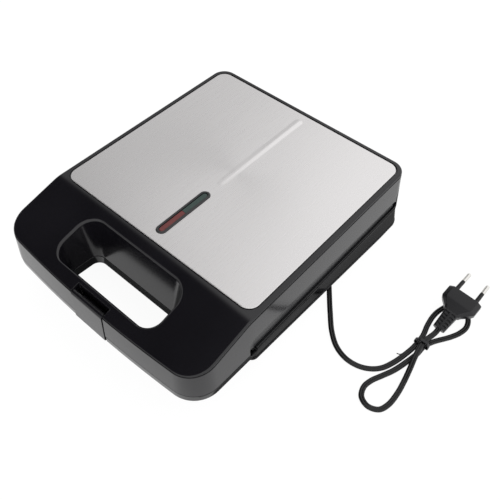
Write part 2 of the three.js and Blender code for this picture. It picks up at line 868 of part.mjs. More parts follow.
// Control parts on the back of the upper plate.
const plateBack = lidLow + plateThick + seatGap;
const thermostatSeat = { x: 0, y: plateMiddle, z: plateBack };
add(
  "thermostat",
  join(
    rod(thermostatSeat, "z", thermostatHeight, thermostatRadius, 20),
    rod(thermostatSeat, "z", thermostatHeight + panDepth / 2, thermostatRadius / 2, 16),
  ),
  ceramic,
);
add(
  "thermal_fuse",
  rod(
    { x: thermostatRadius * 2, y: plateMiddle - fuseLength / 2, z: plateBack + fuseRadius },
    "y",
    fuseLength,
    fuseRadius,
    12,
  ),
  ceramic,
);

// Base casing: the handle's lower half and a hull that narrows to the bottom cover.
const seamGrow = wallGrow(seamHeight);
const hullOutline = halfOutline({
  halfWidth: hullHalfWidth,
  frontHalfWidth: hullFrontHalfWidth,
  shoulder: hullShoulder,
  front: hullFront,
  rear: hullRear,
  frontRadius: hullFrontRadius,
  rearRadius: hullRearRadius,
  marks: [hullShoulder],
});
const hullTopOutline = halfOutline({
  halfWidth: lidHalfWidth + seamGrow(lidRear),
  front: hullFront - hullFrontRise,
  rear: lidRear + seamGrow(lidRear),
  frontRadius: hullFrontRadius,
  rearRadius: lidRearRadius,
  marks: [hullShoulder],
});
const flangeLow = baseHigh - flangeHeight;
const hullLow = coverRimHeight + seatGap;

function hull(inset, low, high) {
  return loft([
    ring(hullOutline, -inset, low),
    ring(hullTopOutline, -flangeStep - inset, high),
  ]);
}

function handleTray(inset, low) {
  const round = Math.max(0, handleRound - inset);
  const block = loft([
    ring(lidOutline, (y) => seamGrow(y) - inset - round, low),
    ring(lidOutline, (y) => seamGrow(y) - inset, low + round),
    ring(lidOutline, (y) => seamGrow(y) - inset, baseHigh),
  ]);
  const reach = 2 * lidHalfWidth;
  const front = lidNose - 3 * overrun;
  return common(block, boxBody([-reach, front, low - overrun], [reach, handleBackEnd - inset, lidTop]));
}

function baseWell(grow, low, high) {
  return loft([
    ring(
      wellOutline,
      (y) => wellGrow(seamHeight)(y) - baseWellLeanShare * (seamHeight - low) + grow,
      low,
    ),
    ring(wellOutline, (y) => wellGrow(seamHeight)(y) + grow, high),
  ]);
}

function cordWell(grow) {
  const half = cordWellHalfWidth + grow;
  const back = seatGap + grow;
  const shape = new THREE.BoxGeometry(cordWellLength + back + grow, 2 * half, cordWellTop + grow);
  shape.translate((cordWellLength + grow - back) / 2, 0, (cordWellTop + grow) / 2);
  shape.rotateZ(glandHeading).translate(glandRoot.x, glandRoot.y, 0);
  return solid(shape);
}

function baseCasing() {
  const flange = loft([ring(lidOutline, seamGrow, flangeLow), ring(lidOutline, seamGrow, baseHigh)]);
  const skin = join(hull(0, hullLow, flangeLow + seatGap), handleTray(0, handleBottom), flange);
  const top = ring(lidOutline, (y) => seamGrow(y) - shellWall, baseHigh + overrun);
  const hollow = join(
    hull(shellWall, hullLow - overrun, flangeLow),
    handleTray(shellWall, handleBottom + shellWall),
    loft([ring(lidOutline, (y) => seamGrow(y) - shellWall - flangeStep, flangeLow - seatGap), top]),
  );
  const wellWalls = common(baseWell(shellWall, handleBottom, baseHigh), skin);
  const notchWalls = common(notchBlock(handleBottom, flangeLow, shellWall), skin);
  let body = join(cut(skin, hollow), wellWalls, notchWalls);
  for (const side of Object.values(sides)) {
    for (const end of [-1, 1]) {
      const inner = side * hingeX + end * (knuckleWidth / 2 + seatGap);
      const start = end > 0 ? inner : inner - earWidth;
      body = join(body, hingeBarrel(start, earWidth, seamHeight - knuckleRadius, baseHigh));
    }
  }
  return cut(
    body,
    baseWell(0, handleBottom - overrun, baseHigh + overrun),
    notchBlock(handleBottom - overrun, baseHigh + overrun, 0),
    ...Object.values(sides).map(hingeBore),
  );
}
add("base_casing", baseCasing(), blackShell);

for (const [name, side] of Object.entries(sides)) {
  const reach = knuckleWidth / 2 + seatGap + earWidth;
  add(
    "hinge_pin_" + name,
    rod({ x: side * hingeX - reach, y: hingeY, z: seamHeight }, "x", 2 * reach, hingePinRadius),
    steel,
  );
}

// Inner frame of the base, level with the seam.
function baseLiner() {
  const inset = shellWall + flangeStep + seatGap;
  const low = baseHigh - frameWall;
  const half = latchHalfWidth + notchGap;
  const sheet = loft([
    ring(lidOutline, (y) => seamGrow(y) - inset, low),
    ring(lidOutline, (y) => seamGrow(y) - inset, baseHigh),
  ]);
  return cut(
    sheet,
    level(plateOutline, low - overrun, baseHigh + overrun, seatGap),
    baseWell(shellWall + seatGap, low - overrun, baseHigh + overrun),
    boxBody([-half, lidNose - 2 * overrun, low - overrun], [half, catchFront, baseHigh + overrun]),
  );
}
add("base_liner", baseLiner(), greyFrame);

// Bottom cover: a shallow tray, a little proud of the hull, with the cord's well pressed into it.
function bottomCover() {
  const tray = cut(
    level(hullOutline, footHeight, coverRimHeight, coverProud),
    level(hullOutline, footHeight + shellWall, coverRimHeight + overrun, coverProud - shellWall),
  );
  const pocket = common(
    cordWell(shellWall),
    level(hullOutline, footHeight, cordWellTop + shellWall, coverProud - shellWall),
  );
  const holes = feetPlaces().map(({ x, y }) =>
    rod({ x, y, z: 0 }, "z", coverRimHeight + overrun, footStem + seatGap, 14),
  );
  return cut(join(tray, pocket), cordWell(0), ...holes);
}

function feetPlaces() {
  return [
    { name: "foot_front_left", x: -footX, y: footFrontY },
    { name: "foot_front_right", x: footX, y: footFrontY },
    { name: "foot_rear_left", x: -footX, y: footRearY },
    { name: "foot_rear_right", x: footX, y: footRearY },
  ];
}
add("bottom_cover", bottomCover(), blackShell);

// Rubber feet: turned, with a stem through the cover and a hollow for the screw below.
for (const { name, x, y } of feetPlaces()) {
  const stemTop = footHeight + shellWall + 2 * seatGap;
  const profile = [
    [0, footRecessDepth],
    [footRecess, footRecessDepth],
    [footRecess, 0],
    [footRadius - footChamfer, 0],
    [footRadius, footChamfer],
    [footTopRadius, footHeight - seatGap],
    [footStem, footHeight - seatGap],
    [footStem, stemTop],
    [0, stemTop],
  ].map(([r, z]) => new THREE.Vector2(r, z));
  const foot = new THREE.LatheGeometry(profile, 20).rotateX(quarterTurn).translate(x, y, 0);
  add(name, solid(foot), rubber);
}

// Terminal block on the bottom cover, where the cores of the cord end.
const blockLow = footHeight + shellWall + seatGap;
add(
  "terminal_block",
  boxBody(
    [-blockWidth / 2, blockY - blockDepth / 2, blockLow],
    [blockWidth / 2, blockY + blockDepth / 2, blockLow + blockHeight],
  ),
  ceramic,
);

// Strain relief in the cord's well: a collar against its end wall, then a sleeve that tapers.
const heading = new THREE.Vector3(Math.cos(glandHeading), Math.sin(glandHeading), 0);
function gland() {
  const profile = [
    [0, 0],
    [glandCollar, 0],
    [glandCollar, glandCollarThick],
    [glandRadius, glandCollarThick],
    [glandTipRadius, glandLength],
    [0, glandLength],
  ].map(([r, z]) => new THREE.Vector2(r, z));
  const body = new THREE.LatheGeometry(profile, 16).rotateZ(-quarterTurn).rotateZ(glandHeading);
  return solid(body.translate(glandRoot.x, glandRoot.y, glandRoot.z));
}
add("cord_gland", gland(), rubber);

// Plug: built along +Z from its face backwards, then laid on the table and tipped up.
const plugPlace = new THREE.Matrix4()
  .makeTranslation(plugFace)
  .multiply(new THREE.Matrix4().makeRotationZ(plugYaw))
  .multiply(new THREE.Matrix4().makeRotationX(quarterTurn + plugPitch));
const placed = (body) => solid(geometryOf(body).applyMatrix4(plugPlace));

function plugSection(width, height, corner) {
  return halfOutline({
    halfWidth: width / 2,
    front: -height / 2,
    rear: height / 2,
    frontRadius: corner,
    rearRadius: corner,
  });
}

// The relief's section at a distance behind the plug's body.
function reliefSection(behind) {
  const share = behind / reliefLength;
  const width = reliefWidth + (reliefEndWidth - reliefWidth) * share;
  const height = reliefHeight + (reliefEndHeight - reliefHeight) * share;
  return plugSection(width, height, reliefCorner);
}

function plugBodyPiece() {
  const face = plugSection(plugWidth, plugHeight, plugCorner);
  const rings = [
    ring(face, -plugEdge, 0),
    ring(face, 0, plugEdge),
    ring(face, 0, plugStraight),
    ring(plugSection(plugNeckWidth, plugNeckHeight, plugCorner), 0, plugBody),
  ];
  const pitch = reliefLength / reliefRibs;
  for (let rib = 0; rib < reliefRibs; rib++) {
    ribShares.forEach((share, i) => {
      const behind = (rib + share) * pitch;
      rings.push(ring(reliefSection(behind), i === 1 ? -reliefGroove : 0, plugBody + behind));
    });
  }
  rings.push(ring(reliefSection(reliefLength), 0, plugBody + reliefLength));
  return placed(loft(rings));
}
add("plug_body", plugBodyPiece(), cordSkin);

for (const [name, side] of Object.entries(sides)) {
  const x = (side * pinSpacing) / 2;
  add(
    "plug_sleeve_" + name,
    placed(rod({ x, y: 0, z: -seatGap - sleeveLength }, "z", sleeveLength, sleeveRadius, 16)),
    cordSkin,
  );
  const metal = pinLength - sleeveLength;
  const tip = [
    [0, 0],
    [sleeveRadius - pinTipRound, 0],
    [sleeveRadius, pinTipRound],
    [sleeveRadius, metal],
    [0, metal],
  ].map(([r, z]) => new THREE.Vector2(r, z));
  const pin = new THREE.LatheGeometry(tip, 16).rotateX(quarterTurn);
  const far = -2 * seatGap - pinLength;
  add("plug_pin_" + name, placed(solid(pin.translate(x, 0, far))), nickel);
}

// Mains cord: out of its strain relief, down to the table, under the plug and back through the tie,
// round a small loop and up through the tie again into the plug.
const cordStart = glandRoot.clone().addScaledVector(heading, glandLength + seatGap);
const plugBack = new THREE.Vector3(0, 0, plugBody + reliefLength + seatGap).applyMatrix4(plugPlace);
const plugAway = new THREE.Vector3(0, 0, 1).transformDirection(plugPlace);
const cordRoute = [
  [75, 137.1, 8],
  [85, 124.4, 4.6],
  [93, 114.4, 2.4],
  [101.3, 104.1, 1.7],
  [117.2, 84, 1.7],
  [130.3, 68.8, 1.7],
  [141.3, 60.3, 1.7],
  [153.2, 56.7, 1.7],
  [164.4, 57.9, 1.7],
  [173, 62.4, 1.7],
  [179, 68.9, 1.7],
  [183.2, 78.6, 1.7],
  [186.2, 90.3, 1.7],
  [188.2, 103, 1.7],
  [188.2, 115, 1.7],
  [185.8, 127, 1.7],
  [184.8, 138, 1.7],
  [186, 147, 1.7],
  [189.7, 155.8, 1.7],
  [198.5, 159.5, 1.7],
  [207.3, 155.8, 1.7],
  [211, 147, 1.7],
  [209.8, 138.5, 1.7],
  [206, 130, 1.7],
  [197, 115.5, 1.7],
  [193.9, 107.5, 1.7],
  [193.3, 98, 1.7],
  [190.7, 85.5, 1.7],
  [187, 72.6, 1.7],
  [182.5, 62.4, 1.7],
  [178.8, 54, 1.7],
  [177.5, 45.8, 1.7],
  [180.75, 37.95, 1.7],
  [188.6, 34.7, 1.7],
  [196.45, 37.95, 1.7],
  [199.7, 45.8, 1.7],
  [200, 58, 1.7],
  [198.4, 70.5, 1.7],
  [196, 83, 3.9],
  [193.9, 92.5, 5.3],
  [192.2, 108, 5.4],
];
const cordPoints = [
  cordStart,
  cordStart.clone().addScaledVector(heading, cordLeave),
  ...cordRoute.map((p) => new THREE.Vector3(...p)),
  plugBack.clone().addScaledVector(plugAway, cordLeave),
  plugBack,
];
const cordCurve = new THREE.CatmullRomCurve3(cordPoints, false, "centripetal");

// The least distance between stretches of the cord that aren't close along it: between their middle
// lines, less what the flat section takes up in that direction.
function leastGap(curve) {
  const samples = Math.round(curve.getLength());
  const points = curve.getSpacedPoints(samples);
  const between = new THREE.Vector3();
  let least = Infinity;
  for (let i = 0; i < points.length; i++) {
    for (let j = i + cordNear; j < points.length; j++) {
      between.subVectors(points[j], points[i]);
      const away = between.length();
      const flat = (cordHalfWidth * Math.hypot(between.x, between.y)) / away;
      least = Math.min(least, away - 2 * Math.hypot(flat, (cordHalfThick * between.z) / away));
    }
  }
  return least;
}
const cordLength = cordCurve.getLength();
console.log(`cord length ${cordLength.toFixed(0)} mm, least gap ${leastGap(cordCurve).toFixed(2)} mm`);

// The section stands on its thickness: its first axis stays upright along the whole route.
function cordTube() {
  const section = new THREE.Shape();
  section.absellipse(0, 0, cordHalfThick, cordHalfWidth, 0, 2 * Math.PI, false, 0);
  return new THREE.ExtrudeGeometry(new THREE.Shape(section.getPoints(cordHalfSides).slice(0, -1)), {
    steps: cordSteps,
    extrudePath: cordCurve,
    bevelEnabled: false,
  });
}
add("cord", solid(cordTube()), cordSkin);

// Wire tie: a flat band round the three strands, two on the table and one over them.
const inTie = (p) => p.x > lidHalfWidth + tieClear && Math.abs(p.y - tiePlace) < tieWidth / 2;
const tieAt = cordCurve.getSpacedPoints(tieSamples).filter(inTie);
const tieSpan = (points) => {
  const across = points.map((p) => p.x);
  return [Math.min(...across) - cordHalfWidth, Math.max(...across) + cordHalfWidth];
};
const [tieLow, tieHigh] = tieSpan(tieAt);
const [upperLow, upperHigh] = tieSpan(tieAt.filter((p) => p.z > 2 * cordHalfThick));
const tieTop = Math.max(...tieAt.map((p) => p.z)) + cordHalfThick;

function tieBlock(out, depth, sink) {
  const corners = [
    [tieLow - out, 0],
    [tieHigh + out, 0],
    [tieHigh + out, 2 * cordHalfThick + out],
    [upperHigh + out, tieTop + out],
    [upperLow - out, tieTop + out],
    [tieLow - out, 2 * cordHalfThick + out],
  ].map((p) => new THREE.Vector2(...p));
  const block = new THREE.ExtrudeGeometry(new THREE.Shape(corners), { depth, bevelEnabled: false });
  return solid(block.rotateX(quarterTurn).translate(0, tiePlace + depth / 2, -sink));
}
const tieBand = cut(tieBlock(tieSlack + tieThick, tieWidth, 0), tieBlock(tieSlack, 2 * tieWidth, tieSlack));
add("cord_tie", tieBand, rubber);

// The origin goes under the middle of the appliance, between its nose and its hinges.
const frontMost = Math.min(latchFaceY(latchBottom), lidNose - leanShare * (topAt(lidNose) - lidLow));
const rearMost = hingeY + knuckleRadius;
appliance.position.y = -(frontMost + rearMost) / 2;

export default appliance;
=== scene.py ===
# %% [markdown]
# A waffle maker with heart-shaped plates, dressed for its portrait. The measured model is loaded
# first and never moved. Every piece made here takes its place from that model, in metres, so the
# render and the mechanism stay one object.

# %% Load the measured model
import math
import bmesh
import bpy
from mathutils import Matrix, Vector


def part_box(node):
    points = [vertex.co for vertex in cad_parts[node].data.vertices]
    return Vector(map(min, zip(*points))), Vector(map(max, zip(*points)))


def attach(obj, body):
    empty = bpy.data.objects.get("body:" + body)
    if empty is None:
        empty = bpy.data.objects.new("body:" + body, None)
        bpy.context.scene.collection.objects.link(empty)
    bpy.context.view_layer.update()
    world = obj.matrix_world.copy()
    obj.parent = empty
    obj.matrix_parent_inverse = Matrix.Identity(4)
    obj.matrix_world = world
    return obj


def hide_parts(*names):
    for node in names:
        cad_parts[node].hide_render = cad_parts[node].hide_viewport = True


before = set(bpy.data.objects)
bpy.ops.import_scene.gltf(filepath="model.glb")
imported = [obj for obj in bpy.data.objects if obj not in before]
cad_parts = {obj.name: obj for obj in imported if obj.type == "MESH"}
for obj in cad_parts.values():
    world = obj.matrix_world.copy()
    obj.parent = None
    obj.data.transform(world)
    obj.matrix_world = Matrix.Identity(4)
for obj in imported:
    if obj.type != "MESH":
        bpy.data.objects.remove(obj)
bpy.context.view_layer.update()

MM = 0.001

# %% [markdown]
# The camera stands in front of the handle, to its right and high up, with a normal lens. Its place
# and turn were worked out from the four edges of the steel cover, which is a known rectangle.

# %% Camera
CAMERA_PLACE = Vector((0.242524, -0.242862, 0.432927))
CAMERA_HEADING = math.radians(39.9517)
CAMERA_DOWN = math.radians(51.6671)
CAMERA_ROLL = math.radians(1.4001)
FOCAL_LENGTH = 43.667  # millimetres
SENSOR_WIDTH = 36
NEAREST_SEEN = 0.01  # metres


def camera_turn(heading, down, roll):
    ahead = math.cos(down)
    forward = Vector((-math.sin(heading) * ahead, math.cos(heading) * ahead, -math.sin(down)))
    right = Vector((math.cos(heading), math.sin(heading), 0))
    up = right.cross(forward)
    turned_right = math.cos(roll) * right + math.sin(roll) * up
    turned_up = math.cos(roll) * up - math.sin(roll) * right
    return Matrix((turned_right, turned_up, -forward)).transposed()


camera = bpy.data.objects.new("camera", bpy.data.cameras.new("camera"))
camera.data.lens = FOCAL_LENGTH
camera.data.sensor_width = SENSOR_WIDTH
camera.data.clip_start = NEAREST_SEEN
camera.matrix_world = Matrix.LocRotScale(
    CAMERA_PLACE, camera_turn(CAMERA_HEADING, CAMERA_DOWN, CAMERA_ROLL).to_quaternion(), None
)
bpy.context.scene.collection.objects.link(camera)
bpy.context.scene.camera = camera
bpy.context.scene.view_settings.view_transform = "Standard"
print("camera:", camera.matrix_world.translation)

# %% [markdown]
# Colours are written as sRGB hex values, as they would be read from a colour fan. The renderer works
# in linear light, so one function turns them. A second small function adds a shader node with its
# settings and its links.

# %% Colour and node helpers
MATH, VECTORS, RANGE = "ShaderNodeMath", "ShaderNodeVectorMath", "ShaderNodeMapRange"
SMOOTH = {"interpolation_type": "SMOOTHSTEP"}


def linear(hex_colour):
    channels = [int(hex_colour[i : i + 2], 16) / 255 for i in (1, 3, 5)]
    return [c / 12.92 if c <= 0.04045 else ((c + 0.055) / 1.055) ** 2.4 for c in channels] + [1.0]


def add_node(tree, kind, settings=None, links=None):
    node = tree.nodes.new(kind)
    for key, value in (settings or {}).items():
        if isinstance(key, int) or key in node.inputs:
            node.inputs[key].default_value = value
        else:
            setattr(node, key, value)
    for key, source in (links or {}).items():
        tree.links.new(source, node.inputs[key])
    return node


WHITE = linear("#FFFFFF")
print("white in linear light:", WHITE)

# %% [markdown]
# The set is a white table that runs on without an edge, under a tent of white cloth with one dark
# opening high up on the left. Glossy black plastic shows what it mirrors: the cloth gives its walls a
# grey sheen, and the dark opening keeps the sloping handle black. The cloth is a colour of the world,
# so it lights the object evenly from all round and needs no lamps.

# %% Studio: the tent
OPENING_AT = (-0.55, -0.17, 0.82)  # where the dark opening in the cloth lies, seen from the object
OPENING_INNER = math.radians(21)  # it is fully dark this far from its middle
OPENING_OUTER = math.radians(31)  # and white cloth from here on
OPENING_LEVEL = 0.04
CLOTH_LEFT = 0.78  # the cloth is dimmer on the left, and brightest beyond the hinges
CLOTH_RIGHT = 1.22
CLOTH_FROM = -0.47
CLOTH_TO = -0.36


def make_tent():
    world = bpy.data.worlds.new("tent")
    bpy.context.scene.world = world
    world.use_nodes = True
    tree = world.node_tree
    tree.nodes.clear()
    way = add_node(tree, "ShaderNodeTexCoord").outputs["Generated"]
    middle = Vector(OPENING_AT).normalized()
    near = add_node(tree, VECTORS, {"operation": "DOT_PRODUCT", 1: middle}, {0: way})
    fade = add_node(
        tree, RANGE,
        SMOOTH | {"From Min": math.cos(OPENING_OUTER), "From Max": math.cos(OPENING_INNER),
                  "To Min": 1.0, "To Max": OPENING_LEVEL},
        {"Value": near.outputs["Value"]},
    )
    parts = add_node(tree, "ShaderNodeSeparateXYZ", None, {0: way})
    cloth = add_node(
        tree, RANGE,
        SMOOTH | {"From Min": CLOTH_FROM, "From Max": CLOTH_TO, "To Min": CLOTH_LEFT, "To Max": CLOTH_RIGHT},
        {"Value": parts.outputs["X"]},
    )
    tent = add_node(tree, MATH, {"operation": "MULTIPLY"}, {0: fade.outputs[0], 1: cloth.outputs[0]})
    path = add_node(tree, "ShaderNodeLightPath")
    level = add_node(
        tree, MATH, {"operation": "MAXIMUM"}, {0: tent.outputs[0], 1: path.outputs["Is Camera Ray"]}
    )
    glow = add_node(tree, "ShaderNodeBackground", {"Color": WHITE}, {"Strength": level.outputs[0]})
    add_node(tree, "ShaderNodeOutputWorld", None, {"Surface": glow.outputs[0]})


make_tent()
print("opening:", round(2 * math.degrees(OPENING_OUTER)), "degrees across")

# %% [markdown]
# The table is white laminate. The camera, mirrors and glass see it almost white, and it keeps the
# object's soft shadow. Close round the hull, mirrors see it darker: this is painted shade in the
# table's material, standing in for the real shade under the overhanging lid.

# %% Studio: the table
TABLE_SIZE = 6.0
TABLE_BELOW = 0.05 * MM
TABLE_GLOW = 0.88  # share of the table's look that stays white whatever shadow falls on it
TABLE_WHITE = 1.06
SHADE_CORNER = (0.1075, 0.134)  # half the hull's size, in metres
SHADE_MIDDLE = (0.0, 0.031)
SHADE_NEAR = 0.016
SHADE_FAR = 0.021
SHADE_LEVEL = 0.03


def seen_directly(tree):
    """One for rays from the camera, mirrors and glass, zero for rays that light the object."""
    path = add_node(tree, "ShaderNodeLightPath").outputs
    first = add_node(
        tree, MATH, {"operation": "MAXIMUM"}, {0: path["Is Camera Ray"], 1: path["Is Glossy Ray"]}
    )
    both = add_node(
        tree, MATH, {"operation": "MAXIMUM"}, {0: first.outputs[0], 1: path["Is Transmission Ray"]}
    )
    return both.outputs[0]


def shade_round_hull(tree):
    """For mirrors only: painted shade on the table close round the hull, and white further out."""
    spot = add_node(tree, "ShaderNodeTexCoord").outputs["Object"]
    for step in (
        {"operation": "SUBTRACT", 1: (*SHADE_MIDDLE, 0)}, {"operation": "ABSOLUTE"},
        {"operation": "SUBTRACT", 1: (*SHADE_CORNER, 0)}, {"operation": "MAXIMUM", 1: (0, 0, 0)},
    ):
        spot = add_node(tree, VECTORS, step, {0: spot}).outputs[0]
    away = add_node(tree, VECTORS, {"operation": "LENGTH"}, {0: spot})
    # painted shade: reflections see the table dark near the hull, whatever light falls there
    fade = add_node(
        tree, RANGE,
        SMOOTH | {"From Min": SHADE_NEAR, "From Max": SHADE_FAR, "To Min": SHADE_LEVEL, "To Max": 1.0},
        {"Value": away.outputs["Value"]},
    )
    path = add_node(tree, "ShaderNodeLightPath")
    plain = add_node(
        tree, MATH, {"operation": "SUBTRACT", 0: TABLE_WHITE}, {1: path.outputs["Is Glossy Ray"]}
    )
    both = add_node(tree, MATH, {"operation": "MAXIMUM"}, {0: fade.outputs[0], 1: plain.outputs[0]})
    return both.outputs[0]


def make_table():
    mesh = bpy.data.meshes.new("table")
    far = TABLE_SIZE / 2
    mesh.from_pydata([(-far, -far, 0), (far, -far, 0), (far, far, 0), (-far, far, 0)], [], [(0, 1, 2, 3)])
    table = bpy.data.objects.new("table", mesh)
    table.location.z = -TABLE_BELOW
    bpy.context.scene.collection.objects.link(table)
    material = bpy.data.materials.new("white_laminate_table")
    material.use_nodes = True
    tree = material.node_tree
    tree.nodes.clear()
    matte = add_node(tree, "ShaderNodeBsdfDiffuse", {"Color": linear("#F4F4F4")})
    white = add_node(tree, "ShaderNodeEmission", {"Color": WHITE}, {"Strength": shade_round_hull(tree)})
    share = add_node(tree, MATH, {"operation": "MULTIPLY", 1: TABLE_GLOW}, {0: seen_directly(tree)})
    mix = add_node(
        tree, "ShaderNodeMixShader", None, {0: share.outputs[0], 1: matte.outputs[0], 2: white.outputs[0]}
    )
    add_node(tree, "ShaderNodeOutputMaterial", None, {"Surface": mix.outputs[0]})
    mesh.materials.append(material)
    return table


table = make_table()
print("table:", TABLE_SIZE, "m wide")

# %% [markdown]
# The mains cord is one fixed length of flat twin lead, about half a metre, put up for sale: it leaves
# the strain relief under the base, runs out over the table, under the plug, back through a wire tie,
# round a small loop and over the other two strands into the plug. A curve through the given points
# lies as a lead lies.

# %% Mains cord: its route
STEEL_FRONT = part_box("steel_cover")[0][1]  # lengths along Y count from the steel cover's front edge
CORD_SAMPLES = 560
CORD_LEAVE = 4 * MM
SEAT_GAP = 0.3 * MM
GLAND_ROOT = Vector((0.0448, 0.1753 + STEEL_FRONT, 0.009))
GLAND_HEADING = math.radians(-51.6)
GLAND_LENGTH = 0.034
PLUG_FACE = Vector((0.197, 0.162 + STEEL_FRONT, 0.01635))
PLUG_YAW = math.radians(-3.3)
PLUG_PITCH = math.radians(15.5)
PLUG_BODY = 0.0195
PLUG_RELIEF = 0.0174
CORD_LOW = 1.7  # height of its middle where it lies on the table
CORD_ROUTE = [  # millimetres
    (75, 137.1, 8), (85, 124.4, 4.6), (93, 114.4, 2.4), (101.3, 104.1), (117.2, 84), (130.3, 68.8),
    (141.3, 60.3), (153.2, 56.7), (164.4, 57.9), (173, 62.4), (179, 68.9), (183.2, 78.6), (186.2, 90.3),
    (188.2, 103), (188.2, 115), (185.8, 127), (184.8, 138), (186, 147), (189.7, 155.8), (198.5, 159.5),
    (207.3, 155.8), (211, 147), (209.8, 138.5), (206, 130), (197, 115.5), (193.9, 107.5), (193.3, 98),
    (190.7, 85.5), (187, 72.6), (182.5, 62.4), (178.8, 54), (177.5, 45.8), (180.75, 37.95),
    (188.6, 34.7), (196.45, 37.95), (199.7, 45.8), (200, 58), (198.4, 70.5), (196, 83, 3.9),
    (193.9, 92.5, 5.3), (192.2, 108, 5.4),
]


def place(x, y, z):
    """Metres in the model's frame from millimetres counted from the steel cover's front edge."""
    return Vector((x * MM, y * MM + STEEL_FRONT, z * MM))


def centripetal(points, count):
    """Points along a smooth curve through the given points, evenly in its own parameter."""
    first, last = 2 * points[0] - points[1], 2 * points[-1] - points[-2]
    spans = len(points) - 1
    padded = [first] + points + [last]
    result = []
    for k in range(count + 1):
        along = spans * k / count
        i = min(int(along), spans - 1)
        p0, p1, p2, p3 = padded[i : i + 4]
        d0, d1, d2 = ((b - a).length ** 0.5 for a, b in ((p0, p1), (p1, p2), (p2, p3)))
        m1 = ((p1 - p0) / d0 - (p2 - p0) / (d0 + d1) + (p2 - p1) / d1) * d1
        m2 = ((p2 - p1) / d1 - (p3 - p1) / (d1 + d2) + (p3 - p2) / d2) * d1
        t = along - i
        a = 2 * t**3 - 3 * t**2 + 1
        b = t**3 - 2 * t**2 + t
        c = 3 * t**2 - 2 * t**3
        d = t**3 - t**2
        result.append(a * p1 + b * m1 + c * p2 + d * m2)
    return result


plug_turn = Matrix.Rotation(PLUG_YAW, 4, "Z") @ Matrix.Rotation(math.pi / 2 + PLUG_PITCH, 4, "X")
plug_place = Matrix.Translation(PLUG_FACE) @ plug_turn
plug_away = (plug_turn @ Vector((0, 0, 1))).normalized()
plug_back = plug_place @ Vector((0, 0, PLUG_BODY + PLUG_RELIEF + SEAT_GAP))
gland_way = Vector((math.cos(GLAND_HEADING), math.sin(GLAND_HEADING), 0))
cord_exit = GLAND_ROOT + gland_way * (GLAND_LENGTH + SEAT_GAP)
cord_points = (
    [cord_exit, cord_exit + CORD_LEAVE * gland_way]
    + [place(*(point if len(point) == 3 else (*point, CORD_LOW))) for point in CORD_ROUTE]
    + [plug_back + CORD_LEAVE * plug_away, plug_back]
)
cord_line = centripetal(cord_points, CORD_SAMPLES)

# %% [markdown]
# The lead's section is two round cores side by side with a groove between them. A curve's own bevel
# would turn it on its side, so the section is carried upright along the curve as a mesh.

# %% Mains cord: its section
CORD_WIDTH = 4.6 * MM
CORE_RADIUS = 1.4 * MM
CORE_STEPS = 9


def spread(start, end, count):
    """Evenly spaced values, with both ends."""
    return [start + (end - start) * i / count for i in range(count + 1)]


def link_piece(name, mesh):
    piece = bpy.data.objects.new(name, mesh)
    bpy.context.scene.collection.objects.link(piece)
    return piece


def mesh_piece(name, points, faces):
    """A new piece from points and faces. Its name is the piece's own."""
    mesh = bpy.data.meshes.new(name)
    mesh.from_pydata(points, [], faces)
    mesh.validate()
    return link_piece(name, mesh)


def bands(levels, count):
    """The side faces of a stack of closed loops."""
    faces = []
    for level in range(levels - 1):
        low, high = level * count, (level + 1) * count
        for i in range(count):
            j = (i + 1) % count
            faces.append((low + i, low + j, high + j, high + i))
    return faces


def swept(name, line, section):
    """A closed tube: a flat section of (across, up) pairs carried upright along a line."""
    points = []
    for k, middle in enumerate(line):
        ahead = (line[min(k + 1, len(line) - 1)] - line[max(k - 1, 0)]).normalized()
        across = ahead.cross(Vector((0, 0, 1))).normalized()
        up = across.cross(ahead)
        points += [middle + a * across + b * up for a, b in section]
    count = len(section)
    ends = [tuple(reversed(range(count))), tuple(len(points) - count + i for i in range(count))]
    return mesh_piece(name, points, ends + bands(len(line), count))


def twin_section():
    offset = CORD_WIDTH / 2 - CORE_RADIUS
    groove = math.acos(-offset / CORE_RADIUS)
    right = [(offset + CORE_RADIUS * math.cos(a), CORE_RADIUS * math.sin(a))
             for a in spread(-groove, groove, CORE_STEPS)]
    return right + [(-a, -b) for a, b in right[1:-1]]


cord = swept("mains_lead", cord_line, twin_section())
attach(cord, "base")
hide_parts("cord")
print(cord.name, len(cord.data.polygons), "faces")

# %% [markdown]
# The housings are modern moulded shells: outlines with round corners, walls that lean out a little
# so that they leave the mould, and rims that turn over in a small radius. Each outline is a list of
# points, each with the direction that faces out, so that one outline can be pushed out or in.

# %% Outlines
QUARTER = math.pi / 2
ARC_STEPS = 14
BOW_STEPS = 10
ROUND_STEPS = 6


def arc(cx, cy, radius, start, end):
    return [(cx + radius * math.cos(a), cy + radius * math.sin(a), math.cos(a), math.sin(a))
            for a in spread(start, end, ARC_STEPS)]


def half_outline(half_width, front, rear, front_radius, rear_radius, bow=0.0, front_width=None, marks=()):
    """From the front middle round the right side to the rear middle."""
    front_width = front_width or half_width
    edge = front_width - front_radius
    tilt = math.atan2(2 * bow, edge)
    points = [(0.0, front, 0.0, -1.0)]
    for i in range(1, BOW_STEPS if bow else 0):
        share = i / BOW_STEPS
        lean = math.atan2(2 * bow * share, edge)
        across = (edge + front_radius * math.sin(tilt)) * share
        points.append((across, front + bow * share * share, math.sin(lean), -math.cos(lean)))
    corner = front + bow + front_radius * math.cos(tilt)
    points += arc(edge, corner, front_radius, tilt - QUARTER, 0)
    for y in marks:
        share = (y - corner) / (marks[-1] - corner)
        points.append((front_width + (half_width - front_width) * share, y, 1.0, 0.0))
    points += arc(half_width - rear_radius, rear - rear_radius, rear_radius, 0, QUARTER)
    return points + [(0.0, rear, 0.0, 1.0)]


def slot_outline(half, front, rear):
    return half_outline(half, front, rear, half, half)


def round_corner(cx, cy, radius, start, turn, steps=ROUND_STEPS):
    return [(cx + radius * math.cos(a), cy + radius * math.sin(a))
            for a in spread(start, start + turn, steps)]


